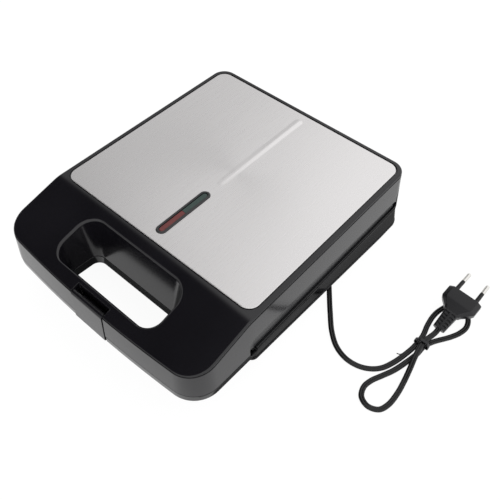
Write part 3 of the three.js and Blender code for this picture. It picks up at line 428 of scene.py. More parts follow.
def foot_curve(radius, steps=ROUND_STEPS):
    """How far in and how far up the points of a rounded lower edge are."""
    return [(radius * (1 - math.sin(a)), radius * (1 - math.cos(a))) for a in spread(0, QUARTER, steps)]


def plus(rule, more):
    return lambda y: rule(y) + more


def between(start, end, share):
    return tuple(a + (b - a) * share for a, b in zip(start, end))


def ring(half, grow, height):
    """All round, pushed out by grow and lifted to height. Both may follow y."""
    at = lambda value, y: value(y) if callable(value) else value
    right = [(x + nx * at(grow, y), y + ny * at(grow, y), at(height, y)) for x, y, nx, ny in half]
    return right + [(-x, y, z) for x, y, z in reversed(right[1:-1])]


def rim(half, height, radius, inward):
    """Rings that turn a wall through a quarter circle into its top face."""
    return [
        ring(half, -radius * math.cos(a) if inward else radius * (math.cos(a) - 1),
             lambda y: height(y) - radius * (1 - math.sin(a)))
        for a in spread(0, QUARTER, ROUND_STEPS)
    ]


print("a slot's outline:", len(slot_outline(1, 0, 4)), "points a side")

# %% [markdown]
# A stack of rings becomes a skin. Blocks, turned bodies, bars and side views are made the same way,
# from their own few numbers, because a primitive would have to be scaled and turned into place.

# %% Bodies
OVERRUN = 3  # millimetres that a cutter runs past the face it opens
BAR_SIDES = 40


def skin(name, rings, flat_ends=False):
    """A closed body over a stack of rings, lowest first. Its ends are strips, or one flat face each."""
    count = len(rings[0])
    points = [place(*p) for level in rings for p in level]
    faces = bands(len(rings), count)
    top = (len(rings) - 1) * count
    if flat_ends:
        faces += [tuple(reversed(range(count))), tuple(range(top, top + count))]
    for i in range(0 if flat_ends else count // 2):
        strip = list(dict.fromkeys([i, i + 1, count - i - 1, (count - i) % count]))
        faces += [tuple(top + k for k in strip), tuple(reversed(strip))]
    return mesh_piece(name, points, faces)


def level(name, half, low, high, grow=0.0):
    return skin(name, [ring(half, grow, low), ring(half, grow, high)])


def block(low, high):
    across, along, up = zip(low, high)
    points = [place(x, y, z) for z in up for y in along for x in across]
    faces = [(0, 2, 3, 1), (4, 5, 7, 6), (0, 1, 5, 4), (2, 6, 7, 3), (0, 4, 6, 2), (1, 3, 7, 5)]
    return mesh_piece("block", points, faces)


def turned(name, start, axis, profile, sides=BAR_SIDES):
    """A body of revolution: (along, radius) pairs from a start, with a point at each end of its axis."""
    axis = Vector(axis).normalized()
    side = axis.orthogonal().normalized()
    other = axis.cross(side)
    inner = [(along, radius) for along, radius in profile if radius > 0]
    points = [start + axis * profile[0][0] * MM, start + axis * profile[-1][0] * MM]
    for along, radius in inner:
        for k in range(sides):
            a = 2 * math.pi * k / sides
            around = math.cos(a) * side + math.sin(a) * other
            points.append(start + axis * along * MM + around * radius * MM)
    faces = []
    last = len(points) - sides
    for k in range(sides):
        n = (k + 1) % sides
        faces += [(0, 2 + n, 2 + k), (1, last + k, last + n)]
        for step in range(len(inner) - 1):
            low, high = 2 + step * sides, 2 + (step + 1) * sides
            faces.append((low + k, low + n, high + n, high + k))
    return mesh_piece(name, points, faces)


def bar(x, y, z, axis, length, radius, sides=BAR_SIDES):
    ways = {"x": (1, 0, 0), "z": (0, 0, 1)}
    profile = [(0, 0), (0, radius), (length, radius), (length, 0)]
    return turned("bar", place(x, y, z), ways[axis], profile, sides)


def side_view(points, half_width):
    """A body from a view in Y and Z, as wide as asked, across X."""
    count = len(points)
    corners = [place(x, y, z) for x in (-half_width, half_width) for y, z in points]
    faces = [tuple(range(count)), tuple(reversed(range(count, 2 * count)))]
    faces += [(i, i + count, (i + 1) % count + count, (i + 1) % count) for i in range(count)]
    return mesh_piece("side_view", corners, faces)


print("cutters run", OVERRUN, "mm past what they open")

# %% [markdown]
# Bodies are joined and cut as a mould maker adds and cuts metal. Blender's Boolean modifier does that
# on closed meshes, so each piece is settled into clean triangles first. Modelling the same openings
# face by face would take far longer.

# %% Joining, cutting and moving
MERGE_DISTANCE = 1e-6
to_origin = Matrix.Translation((0, -STEEL_FRONT, 0))  # takes back the shift that place() adds


def settled(piece):
    """The piece with its modifiers' result as its mesh of triangles, all turned outwards."""
    graph = bpy.context.evaluated_depsgraph_get()
    mesh = bpy.data.meshes.new_from_object(piece.evaluated_get(graph))
    piece.modifiers.clear()
    shape = bmesh.new()
    shape.from_mesh(mesh)
    bmesh.ops.remove_doubles(shape, verts=shape.verts, dist=MERGE_DISTANCE)
    bmesh.ops.triangulate(shape, faces=shape.faces)
    bmesh.ops.recalc_face_normals(shape, faces=shape.faces)
    shape.to_mesh(mesh)
    shape.free()
    mesh.name = piece.name
    piece.data = mesh
    return piece


def worked(piece, operation, tools):
    settled(piece)
    for tool in tools:
        settled(tool)
        step = piece.modifiers.new("step", "BOOLEAN")
        step.operation = operation
        step.solver = "MANIFOLD"
        step.object = tool
    settled(piece)
    for tool in tools:
        bpy.data.objects.remove(tool)
    return piece


def joined(piece, *tools):
    return worked(piece, "UNION", tools)


def cut(piece, *tools):
    return worked(piece, "DIFFERENCE", tools)


def common(piece, tool):
    return worked(piece, "INTERSECT", [tool])


def moved(piece, matrix):
    piece.data.transform(matrix)
    return piece


def copied(piece, name):
    return link_piece(name, piece.data.copy())


print("points closer than", MERGE_DISTANCE, "m are one")

# %% [markdown]
# A real moulding has no knife edges. The points that a cut left inside flat faces are dropped, and a
# bevel then rounds every true edge by some tenths of a millimetre, which is what catches the light.
# At the end a piece gets its material and its body, and stands for the measured model's own node.

# %% Edges and mounting
SMOOTH_ANGLE = math.radians(32)
FLAT_ANGLE = math.radians(0.05)
EDGE_ANGLE = math.radians(38)
FLAT_WEIGHT = 80


def softened(piece, width, segments=3):
    """Small radii on the sharp edges, as a mould or a press leaves them."""
    shape = bmesh.new()
    shape.from_mesh(piece.data)
    bmesh.ops.dissolve_limit(shape, angle_limit=FLAT_ANGLE, verts=shape.verts, edges=shape.edges)
    bmesh.ops.triangulate(shape, faces=shape.faces)
    shape.to_mesh(piece.data)
    shape.free()
    edges = piece.modifiers.new("edges", "BEVEL")
    edges.width = width * MM
    edges.segments = segments
    edges.limit_method = "ANGLE"
    edges.angle_limit = EDGE_ANGLE
    edges.use_clamp_overlap = False
    edges.miter_outer = "MITER_ARC"
    return settled(piece)


def shaded(piece, material):
    for face in piece.data.polygons:
        face.use_smooth = True
    piece.data.set_sharp_from_angle(angle=SMOOTH_ANGLE)
    flat = piece.modifiers.new("flat_faces", "WEIGHTED_NORMAL")
    flat.keep_sharp = True
    flat.weight = FLAT_WEIGHT
    piece.data.materials.clear()
    piece.data.materials.append(material)


def mounted(piece, body, slot, material, *nodes):
    """Shades a piece, gives it its material and its body, and lets it stand for its CAD nodes."""
    shaded(piece, material)
    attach(piece, body)
    if nodes:
        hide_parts(*nodes)
    print(piece.name, len(piece.data.polygons), "faces")
    return piece


print("edges sharper than", round(math.degrees(EDGE_ANGLE)), "degrees are rounded")

# %% [markdown]
# Materials come next, each named for the real one and for how its surface was made. Every pattern is
# drawn in object coordinates, which are metres here, so its scale is one over its real size.

# %% Material helpers
IOR_ABS = 1.54
IOR_PVC = 1.53
IOR_ACRYLIC = 1.49
IOR_RUBBER = 1.52
IOR_GLASS = 1.47
IOR_COATING = 1.38
IOR_STEATITE = 1.6
NOISE_LOW, NOISE_HIGH = 0.3, 0.7  # the middle of a noise, where most of its values lie


def new_material(name, settings):
    material = bpy.data.materials.new(name)
    material.use_nodes = True
    tree = material.node_tree
    tree.nodes.clear()
    shader = add_node(tree, "ShaderNodeBsdfPrincipled", settings)
    add_node(tree, "ShaderNodeOutputMaterial", None, {"Surface": shader.outputs[0]})
    return material, tree, shader


def pattern(tree, size, detail=2.0, stretch=(1, 1, 1)):
    """A noise whose features have the given size in millimetres, stretched along the axes."""
    where = add_node(tree, "ShaderNodeTexCoord")
    scaled = add_node(
        tree, "ShaderNodeMapping", {"Scale": [1 / (size * MM * s) for s in stretch]},
        {"Vector": where.outputs["Object"]},
    )
    noise = add_node(
        tree, "ShaderNodeTexNoise", {"Scale": 1.0, "Detail": detail}, {"Vector": scaled.outputs[0]}
    )
    return noise.outputs[0]


def ranged(tree, source, low, high):
    """The middle of a noise, spread from low to high."""
    settings = {"From Min": NOISE_LOW, "From Max": NOISE_HIGH, "To Min": low, "To Max": high}
    return add_node(tree, RANGE, settings, {"Value": source}).outputs[0]


def relief(tree, shader, height, depth):
    """Bump of a real depth in millimetres."""
    bump = add_node(tree, "ShaderNodeBump", {"Distance": depth * MM, "Strength": 1.0}, {"Height": height})
    tree.links.new(bump.outputs[0], shader.inputs["Normal"])


def two_tone(tree, shader, source, dark, light):
    tones = add_node(tree, "ShaderNodeMix", {"data_type": "RGBA"})
    colours = [s for s in tones.inputs if s.type == "RGBA"]
    colours[0].default_value = linear(dark)
    colours[1].default_value = linear(light)
    tree.links.new(source, tones.inputs[0])
    tree.links.new([s for s in tones.outputs if s.type == "RGBA"][0], shader.inputs["Base Color"])


print("a noise is used from", NOISE_LOW, "to", NOISE_HIGH)

# %% [markdown]
# The housings are ABS, filled black and moulded in a polished tool that was lightly blasted: a satin
# gloss, with a grain of some tenths of a millimetre. The frames round the plates take more heat. They
# are glass-filled PBT in dark grey, and duller. The lead and the plug are soft PVC, the feet and the
# strain relief are rubber, and the heat-proof blocks are steatite, a ceramic that is fired white.

# %% Plastics, rubber and ceramic
FLOW_MARKS = 60  # millimetres between the faint flow marks of a moulding
SHEEN_SPREAD = 0.08


def moulded(name, dark, light, roughness, grain, depth, ior=IOR_ABS, specular=0.5):
    """Injection-moulded or extruded polymer: even colour, faint flow marks, and the tool's own grain."""
    material, tree, shader = new_material(name, {"IOR": ior, "Specular IOR Level": specular})
    two_tone(tree, shader, ranged(tree, pattern(tree, FLOW_MARKS), 0.0, 1.0), dark, light)
    fine = pattern(tree, grain, 3.0)
    sheen = ranged(tree, fine, roughness * (1 - SHEEN_SPREAD), roughness * (1 + SHEEN_SPREAD))
    tree.links.new(sheen, shader.inputs["Roughness"])
    relief(tree, shader, fine, depth)
    return material


abs_satin = moulded("moulded_abs_black_satin", "#0E0D11", "#151418", 0.17, 0.35, 0.0009, specular=0.4)
abs_gloss = moulded("moulded_abs_black_gloss", "#0A0A0C", "#0E0E11", 0.11, 0.5, 0.0004, specular=0.42)
pbt_grey = moulded("moulded_pbt_dark_grey", "#1E1E20", "#262628", 0.34, 0.3, 0.002)
pvc_lead = moulded("extruded_pvc_black", "#0B0B0C", "#111113", 0.26, 0.6, 0.003, IOR_PVC, 0.3)
pvc_plug = moulded("moulded_pvc_black", "#111114", "#18181B", 0.3, 0.4, 0.003, IOR_PVC, 0.36)
rubber_black = moulded("moulded_rubber_black", "#121213", "#1A1A1B", 0.62, 0.4, 0.006, IOR_RUBBER)
steatite = moulded("fired_steatite", "#D8D2C4", "#E2DDD0", 0.55, 0.5, 0.008, IOR_STEATITE)
print("moulded:", abs_satin.name, abs_gloss.name, pbt_grey.name, pvc_lead.name, rubber_black.name)

# %% [markdown]
# The cover is stainless steel sheet with a brushed finish. The belt leaves hairlines some hundredths of
# a millimetre wide and centimetres long. They are too fine for this picture, so they are drawn three
# tenths of a millimetre wide. They stretch every highlight across the sheet, which anisotropy does.
# The pans are rolled aluminium sheet, the heaters annealed steel tube with a brown bloom, the pins
# ground or plated steel. One noise gives each of them its colour, its sheen and its relief.

# %% Metals
HAIRLINE = 0.3
HAIRLINE_LENGTH = 90  # times its width


def metal(name, dark, light, smooth, rough, size, depth, stretch=(1, 1, 1), anisotropy=0.0):
    """The marks of brush, roll or grinding wheel, from the smoothest to the roughest place."""
    material, tree, shader = new_material(name, {"Metallic": 1.0, "Anisotropic": anisotropy})
    marks = pattern(tree, size, 3.0, stretch)
    two_tone(tree, shader, ranged(tree, marks, 0.0, 1.0), dark, light)
    tree.links.new(ranged(tree, marks, smooth, rough), shader.inputs["Roughness"])
    relief(tree, shader, marks, depth)
    return material


steel_brushed = metal(
    "brushed_stainless_steel", "#D3D1D1", "#D8D6D6", 0.26, 0.32, HAIRLINE, 0.00015,
    (1, HAIRLINE_LENGTH, 1), 0.35,
)
sheet_rolled = metal("rolled_aluminium_sheet", "#BDBEC0", "#CFD0D2", 0.272, 0.368, 0.4, 0.002, (1, 40, 1))
tube_annealed = metal("annealed_steel_tube", "#8C8378", "#A39C93", 0.306, 0.414, 6, 0.01)
pin_ground = metal("ground_steel_pin", "#B4B4B6", "#C6C6C8", 0.204, 0.276, 0.2, 0.001, (60, 1, 1))
nickel_plated = metal("nickel_plated_brass", "#D4D2CE", "#E2E0DC", 0.136, 0.184, 0.8, 0.001)
zinc_screw = metal("zinc_plated_screw", "#A9ABB0", "#BEC0C4", 0.255, 0.345, 0.5, 0.002)
print("metals:", steel_brushed.name, sheet_rolled.name, tube_annealed.name, pin_ground.name)

# %% [markdown]
# The plates are die-cast aluminium with a sprayed non-stick coating, which leaves a faint orange peel
# and fine pale flecks. The lamp window is cast acrylic, tinted right through and frosted on its back,
# so it stays deep in colour while its face is glossy. The lamps behind it are drawn glass.

# %% Coating, acrylic and glass
FLECK_FROM, FLECK_FULL = 0.66, 0.72  # only the peaks of the noise are flecks


def coated(name):
    material, tree, shader = new_material(name, {"IOR": IOR_COATING, "Roughness": 0.4})
    peaks = {"From Min": FLECK_FROM, "From Max": FLECK_FULL}
    flecks = add_node(tree, RANGE, peaks, {"Value": pattern(tree, 0.5, 1.0)})
    two_tone(tree, shader, flecks.outputs[0], "#232325", "#3A3A3D")
    relief(tree, shader, pattern(tree, 1.6, 1.0), 0.012)
    return material


def acrylic(name, dark, light):
    material, tree, shader = new_material(name, {"IOR": IOR_ACRYLIC, "Roughness": 0.1, "Coat Weight": 0.3})
    frosting = pattern(tree, 2.0, 3.0)
    two_tone(tree, shader, ranged(tree, frosting, 0.0, 1.0), dark, light)
    relief(tree, shader, frosting, 0.002)
    return material


def drawn_glass(name):
    material, tree, shader = new_material(
        name, {"IOR": IOR_GLASS, "Roughness": 0.04, "Transmission Weight": 0.9}
    )
    striae = pattern(tree, 1.0, 1.0, (1, 12, 1))
    two_tone(tree, shader, striae, "#EAD9C0", "#F4E8D6")
    relief(tree, shader, striae, 0.004)
    return material


plate_coated = coated("cast_aluminium_nonstick")
acrylic_red = acrylic("cast_acrylic_red", "#5C1F1E", "#6E2725")
acrylic_green = acrylic("cast_acrylic_green", "#1D322E", "#27403A")
lamp_glass = drawn_glass("drawn_glass_lamp")
print("clear and coated:", plate_coated.name, acrylic_red.name, acrylic_green.name, lamp_glass.name)

# %% [markdown]
# The lid's upper shell carries the look of the whole thing. Its outline has small corners at the rear
# and wide ones at the nose, its walls lean out by 8 in 100, and its top is level as far as the
# handle's root, where it breaks over a soft crease and falls by a quarter. A stack of rings can follow
# such a height, which a plain extrusion can't.

# %% Lid shell: form
FIT = 0.3  # clearance between pieces
SEAM = 41.0
LID_TOP = 80.0
LID_LOW = SEAM + FIT / 2
BASE_HIGH = SEAM - FIT / 2
LID_HALF_WIDTH = 104.8
LID_REAR = 195.3
LID_NOSE = -65.6
NOSE_RADIUS = 21.0
REAR_RADIUS = 13.0
NOSE_BOW = 3.2
HANDLE_ROOT = -5.2
CREASE = 4.0  # the crease is rounded this far to either side of the root
CREASE_MARKS = spread(HANDLE_ROOT - CREASE, HANDLE_ROOT + CREASE, 8)
SLOPE = 0.25
LEAN = 0.08
WALL = 2.4
DECK = 4.0
EDGE_ROUND = 1.5
SIDES = {"left": -1, "right": 1}
lid_outline = half_outline(
    LID_HALF_WIDTH, LID_NOSE, LID_REAR, NOSE_RADIUS, REAR_RADIUS, NOSE_BOW, None, CREASE_MARKS
)


def top_at(y):
    """Height of the lid's top: level, then a rounded crease, then the slope of the handle."""
    past = HANDLE_ROOT - y
    if past <= -CREASE:
        return LID_TOP
    if past >= CREASE:
        return LID_TOP - SLOPE * past
    return LID_TOP - SLOPE * (past + CREASE) ** 2 / (4 * CREASE)


def under_top(depth):
    return plus(top_at, -depth)


def wall_grow(z, less=0.0):
    return lambda y: LEAN * (top_at(y) - z) - less


def lid_skin():
    return skin("lid_skin", [ring(lid_outline, wall_grow(LID_LOW), LID_LOW)]
                + rim(lid_outline, top_at, EDGE_ROUND, False))


def lid_block(inset, floor, depth):
    return skin("lid_block", [ring(lid_outline, wall_grow(floor, inset), floor),
                              ring(lid_outline, LEAN * depth - inset, under_top(depth))])


print("lid outline:", len(lid_outline), "points a side")

# %% [markdown]
# The well through the handle is where the fingers go. Its rim is rounded for the hand, and its walls
# close in downwards. The latch sits in a notch in the nose, and long recesses in both sides show the
# lid's inner frame. A groove runs round the top edge, as a shadow line. All are cutters here.

# %% Well, notch, recesses and groove
WELL_HALF = 56.2
WELL_FRONT = -55.3
WELL_REAR = -9.8
WELL_FRONT_RADIUS = 14.9
WELL_REAR_RADIUS = 17.4
WELL_LIP = 2.8
WELL_LEAN = 0.2
LATCH_HALF = 16.8
NOTCH_GAP = 0.6
NOTCH_BACK = -57.2
RECESS_FRONT = -8.0
RECESS_REAR = 187.0
RECESS_FRONT_TOP = 55.8
RECESS_REAR_TOP = 51.2
RECESS_RADIUS = 8.0
RECESS_STEPS = 8
GROOVE_UNDER = 1.9
GROOVE_WIDTH = 1.2
GROOVE_DEPTH = 0.85
well_outline = half_outline(WELL_HALF, WELL_FRONT, WELL_REAR, WELL_FRONT_RADIUS, WELL_REAR_RADIUS)


def well_grow(z, more=0.0):
    return lambda y: more - WELL_LIP - WELL_LEAN * (top_at(y) - WELL_LIP - z)


def well_tool():
    low = SEAM - OVERRUN
    return skin("well", [ring(well_outline, well_grow(low), low)]
                + rim(well_outline, top_at, WELL_LIP, True)
                + [ring(well_outline, 0, under_top(-OVERRUN))])


def well_block(more):
    under = DECK / 2
    return skin("well_walls", [
        ring(well_outline, well_grow(LID_LOW, more), LID_LOW),
        ring(well_outline, more - WELL_LIP, under_top(WELL_LIP + under)),
        ring(well_outline, more - WELL_LIP / 2, under_top(under)),
    ])


def notch_block(low, high, more):
    half = LATCH_HALF + NOTCH_GAP + more
    return block((-half, LID_NOSE - 3 * OVERRUN, low), (half, NOTCH_BACK + more, high))


def recess_tool(low, width):
    radius = RECESS_RADIUS
    view = [(RECESS_FRONT, low), (RECESS_REAR, low)]
    view += round_corner(RECESS_REAR - radius, RECESS_REAR_TOP - radius, radius, 0, QUARTER, RECESS_STEPS)
    view += round_corner(
        RECESS_FRONT + radius, RECESS_FRONT_TOP - radius, radius, QUARTER, QUARTER, RECESS_STEPS
    )
    return side_view(view, width)


def groove_tool(low, high, depth):
    """A band all round the outline, from outside the wall to a depth in it, between two heights."""
    return cut(
        skin("groove", [ring(lid_outline, 2 * OVERRUN, z) for z in (low, high)]),
        skin("groove", [ring(lid_outline, -depth, plus(low, -OVERRUN / 2)),
                        ring(lid_outline, -depth, plus(high, OVERRUN / 2))]),
    )


print("well outline:", len(well_outline), "points a side")

# %% [markdown]
# The hinge has two knuckles on the lid, each between two ears of the base. A steel pin goes through
# each set. The barrels are turned bodies with a root that runs into the wall.

# %% Hinge
HINGE_Y = 204.2
HINGE_X = 62.0
HINGE_ROOT = 196.6
KNUCKLE_RADIUS = 5.0
KNUCKLE_WIDTH = 14.0
KNUCKLE_SIDES = 48
EAR_WIDTH = 6.0
PIN_RADIUS = 2.0


def hinge_barrel(start, width, low, high):
    barrel = bar(start, HINGE_Y, SEAM, "x", width, KNUCKLE_RADIUS, KNUCKLE_SIDES)
    return joined(barrel, block((start, HINGE_ROOT, low), (start + width, HINGE_Y, high)))


def hinge_bores():
    return [
        bar(side * HINGE_X - KNUCKLE_WIDTH, HINGE_Y, SEAM, "x", 2 * KNUCKLE_WIDTH, PIN_RADIUS + FIT)
        for side in SIDES.values()
    ]


print("hinge axis at", place(0, HINGE_Y, SEAM))

# %% [markdown]
# The shell itself: the outer skin less its hollow, with walls round the well and the notch, and the
# two knuckles. The bed for the steel is sunk as deep as the steel is thick. The groove comes before
# the edges are rounded, so that its own edges are rounded too.

# %% Lid shell: body
STEEL_HALF = 100.0
STEEL_DEPTH = 190.6
STEEL_RADIUS = 9.5
STEEL_THICK = 0.9
STEEL_JOINT = 1.0
WINDOW_FRONT = 7.6
WINDOW_REAR = 63.6
WINDOW_HALF = 4.4
LATCH_PIN_Y = -60.3
LATCH_PIN_Z = 56.0
LATCH_PIN_RADIUS = 1.2
MOULD_EDGE = 0.3  # radius that a polished tool leaves
FINE_EDGE = 0.25
steel_outline = half_outline(STEEL_HALF, 0, STEEL_DEPTH, STEEL_RADIUS, STEEL_RADIUS)
window_outline = slot_outline(WINDOW_HALF, WINDOW_FRONT, WINDOW_REAR)


def lid_shell():
    body = cut(lid_skin(), lid_block(WALL, LID_LOW - OVERRUN, DECK))
    body.name = "lid_shell"
    joined(
        body,
        common(well_block(WALL), lid_skin()),
        common(notch_block(LID_LOW, LID_TOP, WALL), lid_skin()),
        *[hinge_barrel(side * HINGE_X - KNUCKLE_WIDTH / 2, KNUCKLE_WIDTH, LID_LOW, SEAM + KNUCKLE_RADIUS)
          for side in SIDES.values()],
    )
    pin_half = LATCH_HALF + WALL
    return cut(
        body,
        well_tool(),
        notch_block(LID_LOW - OVERRUN, LID_TOP + OVERRUN, 0),
        recess_tool(LID_LOW - OVERRUN, 2 * LID_HALF_WIDTH),
        level("bed", steel_outline, LID_TOP - STEEL_THICK - FIT, LID_TOP + OVERRUN, STEEL_JOINT),
        level("window", window_outline, LID_TOP - 2 * DECK, LID_TOP + OVERRUN, FIT),
        groove_tool(under_top(GROOVE_UNDER + GROOVE_WIDTH), under_top(GROOVE_UNDER), GROOVE_DEPTH),
        bar(-pin_half, LATCH_PIN_Y, LATCH_PIN_Z, "x", 2 * pin_half, LATCH_PIN_RADIUS + FIT),
        *hinge_bores(),
    )


mounted(softened(lid_shell(), MOULD_EDGE), "lid", "moulded_black", abs_satin, "lid_casing")

# %% [markdown]
# The steel cover is a thin pressed sheet with a turned edge. A soft ridge runs along its middle: it
# starts faintly behind the lamp window and grows towards the hinges. Its section is a bell, since
# pressed sheet has no hard corners.

# %% Steel cover
STEEL_ROUND = 0.5
RIDGE_FRONT = 74.0
RIDGE_REAR = 184.0
RIDGE_HALF = 4.6
RIDGE_HEIGHT = 0.8
RIDGE_FAINT = 0.2  # share of its height at its front end
RIDGE_RINGS = 9
RIDGE_SINK = 0.02  # its edge lies this far under the sheet's face
RIDGE_MIDDLE = 0.04  # the innermost ring's share of its width
RIDGE_MARKS = [90, 105, 120, 135, 150, 165, 179]


def steady(height):
    return lambda y: height


def ridge_height(share):
    """A bell across the ridge: share is one at its edge and zero on its line."""
    def height(y):
        along = min(max((y - RIDGE_FRONT) / (RIDGE_REAR - RIDGE_FRONT), 0.0), 1.0)
        grown = RIDGE_FAINT + (1 - RIDGE_FAINT) * along
        return LID_TOP - RIDGE_SINK + RIDGE_HEIGHT * grown * (1 + math.cos(math.pi * share)) / 2
    return height


def steel_cover():
    sheet = skin("steel_sheet", [ring(steel_outline, 0, LID_TOP - STEEL_THICK)]
                 + rim(steel_outline, steady(LID_TOP), STEEL_ROUND, False))
    plan = half_outline(RIDGE_HALF, RIDGE_FRONT, RIDGE_REAR, RIDGE_HALF, RIDGE_HALF, marks=RIDGE_MARKS)
    ridge = skin("ridge", [ring(plan, 0, LID_TOP - STEEL_THICK / 2)]
                 + [ring(plan, -RIDGE_HALF * (1 - share), ridge_height(share))
                    for share in spread(1, RIDGE_MIDDLE, RIDGE_RINGS)])
    hole = level("hole", window_outline, LID_TOP - OVERRUN, LID_TOP + OVERRUN, FIT)
    return cut(joined(sheet, ridge), hole)


mounted(steel_cover(), "lid", "brushed_steel", steel_brushed, "steel_cover")

# %% [markdown]
# The lamp window's frame stands a little proud of the steel, and a flange holds it from below. Its
# two lenses share one slot. Each is the same rounded bar, cut to its half.

# %% Lamp window
FRAME_WIDTH = 2.2
FRAME_PROUD = 0.7
FRAME_FLANGE = 1.5
FRAME_DEPTH = 6.0
FRAME_EDGE = 0.15
LENS_PROUD = 0.2
LENS_THICK = 3.0
LENS_ROUND = 0.35
lens_outline = slot_outline(WINDOW_HALF - FRAME_WIDTH, WINDOW_FRONT + FRAME_WIDTH, WINDOW_REAR - FRAME_WIDTH)
window_middle = (WINDOW_FRONT + WINDOW_REAR) / 2


def window_frame():
    under = LID_TOP - DECK - FIT
    high = LID_TOP + FRAME_PROUD
    body = skin("window_frame", [ring(window_outline, 0, under - FRAME_DEPTH)]
                + rim(window_outline, steady(high), FRAME_PROUD, False))
    joined(body, level("flange", window_outline, under - FRAME_FLANGE, under, FRAME_FLANGE))
    return cut(body, level("slot", lens_outline, LID_TOP - 4 * DECK, high + OVERRUN, FIT))


def lens(name, start, end):
    top = LID_TOP + LENS_PROUD
    body = skin(name, [ring(lens_outline, 0, top - LENS_THICK)]
                + rim(lens_outline, steady(top), LENS_ROUND, False))
    half = block((-WINDOW_HALF, start, top - 2 * LENS_THICK), (WINDOW_HALF, end, top + OVERRUN))
    return common(body, half)


mounted(softened(window_frame(), FRAME_EDGE, 2), "lid", "moulded_grey", pbt_grey, "indicator_bezel")
lens_red = lens("lens_red", WINDOW_FRONT, window_middle - FIT / 2)
mounted(lens_red, "lid", "red_lens", acrylic_red, "red_lens")
lens_green = lens("lens_green", window_middle + FIT / 2, WINDOW_REAR)
mounted(lens_green, "lid", "green_lens", acrylic_green, "green_lens")

# %% [markdown]
# Inside the lid's walls sits its inner frame, a tray with an upstand. It carries the upper plate, and
# shows in the side recesses. It is made from the lid's own outline, pushed in by the wall.

# %% Lid frame
FRAME_WALL = 2.5
FRAME_UPSTAND = 18.0
PLATE_FRONT = 12.0
PLATE_REAR = 178.0
PLATE_HALF = 88.0
PLATE_RADIUS = 20.0
plate_outline = half_outline(PLATE_HALF, PLATE_FRONT, PLATE_REAR, PLATE_RADIUS, PLATE_RADIUS)


def lid_frame():
    inset = WALL + FIT
    low, high = LID_LOW - OVERRUN, LID_LOW + FRAME_UPSTAND

    def stack(extra, floor, top):
        return skin("tray", [ring(lid_outline, wall_grow(z, inset + extra), z) for z in (floor, top)])

    tray = cut(stack(0, LID_LOW, high), stack(FRAME_WALL, LID_LOW + FRAME_WALL, high + OVERRUN))
    tray.name = "lid_frame"
    common(tray, lid_block(inset, low, DECK + FIT))
    return cut(
        tray,
        level("opening", plate_outline, low, high + OVERRUN, FIT),
        well_block(inset),
        level("well_foot", well_outline, low, LID_LOW + OVERRUN, well_grow(LID_LOW, inset)),
        notch_block(low, LID_TOP, inset),
    )


mounted(softened(lid_frame(), MOULD_EDGE, 2), "lid", "moulded_grey", pbt_grey, "lid_liner")

# %% [markdown]
# The latch is a thumb plate flush with the nose. Its lower end hooks under a catch in the base, and
# stiffening ribs run down its back inside the notch. One side view gives the plate and its hook.

# %% Latch
LATCH_THICK = 3.0
LATCH_PROUD = 0.4
LATCH_BOTTOM = SEAM - 6
LATCH_BOSS = 2.5
LATCH_BOSS_HALF = 12.0
LATCH_BOSS_SIDES = 32
LATCH_BORE_SIDES = 24
LATCH_RIBS = 5
LATCH_RIB_WIDTH = 1.3
LATCH_RIB_DEPTH = 1.1
LATCH_RIB_SPAN = 10.8
LATCH_RIB_LOW = 1.0
LATCH_RIB_TOP = 1.2
HOOK_REACH = 6.2
HOOK_HEIGHT = 2.8
HOOK_LEAD = 1.2
THUMB_ROUND = 2.4


def latch_face(z):
    return LID_NOSE - LEAN * (top_at(LID_NOSE) - z) - LATCH_PROUD


def latch_back(z):
    return latch_face(z) + LATCH_THICK


def latch_view(top):
    hook_top = LATCH_BOTTOM + HOOK_HEIGHT
    tip = latch_back(LATCH_BOTTOM) + HOOK_REACH
    heel, thumb = LATCH_BOTTOM + HOOK_LEAD, top - THUMB_ROUND
    view = [(latch_back(top), top), (latch_back(hook_top), hook_top), (tip, hook_top),
            (tip, hook_top - HOOK_LEAD), (tip - HOOK_LEAD, LATCH_BOTTOM)]
    view += round_corner(latch_face(heel) + HOOK_LEAD, heel, HOOK_LEAD, -QUARTER, -QUARTER)
    return view + round_corner(latch_face(thumb) + THUMB_ROUND, thumb, THUMB_ROUND, 2 * QUARTER, -QUARTER)


def latch_body():
    top = top_at(LID_NOSE) - FIT
    low, high = LATCH_PIN_Z - LATCH_BOSS, LATCH_PIN_Z + LATCH_BOSS
    middle = latch_face(LATCH_PIN_Z) + LATCH_THICK / 2
    half, rear = LATCH_RIB_WIDTH / 2, latch_back(high) + LATCH_RIB_DEPTH
    end = LATCH_BOSS_HALF
    body = side_view(latch_view(top), LATCH_HALF)
    body.name = "latch_body"
    joined(
        body,
        bar(-end, LATCH_PIN_Y, LATCH_PIN_Z, "x", 2 * end, LATCH_BOSS, LATCH_BOSS_SIDES),
        block((-end, middle, low), (end, LATCH_PIN_Y, high)),
        *[block((x - half, middle, high - LATCH_RIB_LOW), (x + half, rear, top - LATCH_RIB_TOP))
          for x in spread(-LATCH_RIB_SPAN, LATCH_RIB_SPAN, LATCH_RIBS - 1)],
    )
    bore = LATCH_PIN_RADIUS + FIT
    return cut(
        body, bar(-2 * LATCH_HALF, LATCH_PIN_Y, LATCH_PIN_Z, "x", 4 * LATCH_HALF, bore, LATCH_BORE_SIDES)
    )


mounted(softened(latch_body(), FINE_EDGE, 2), "latch", "moulded_black", abs_satin, "latch")

# %% [markdown]
# The base is a hull that narrows to its bottom cover, with the lower half of the handle in front and
# a thin rim that stands out under the seam. The hull's walls run from one outline to another, so they
# are slightly twisted, and small steps keep them smooth.

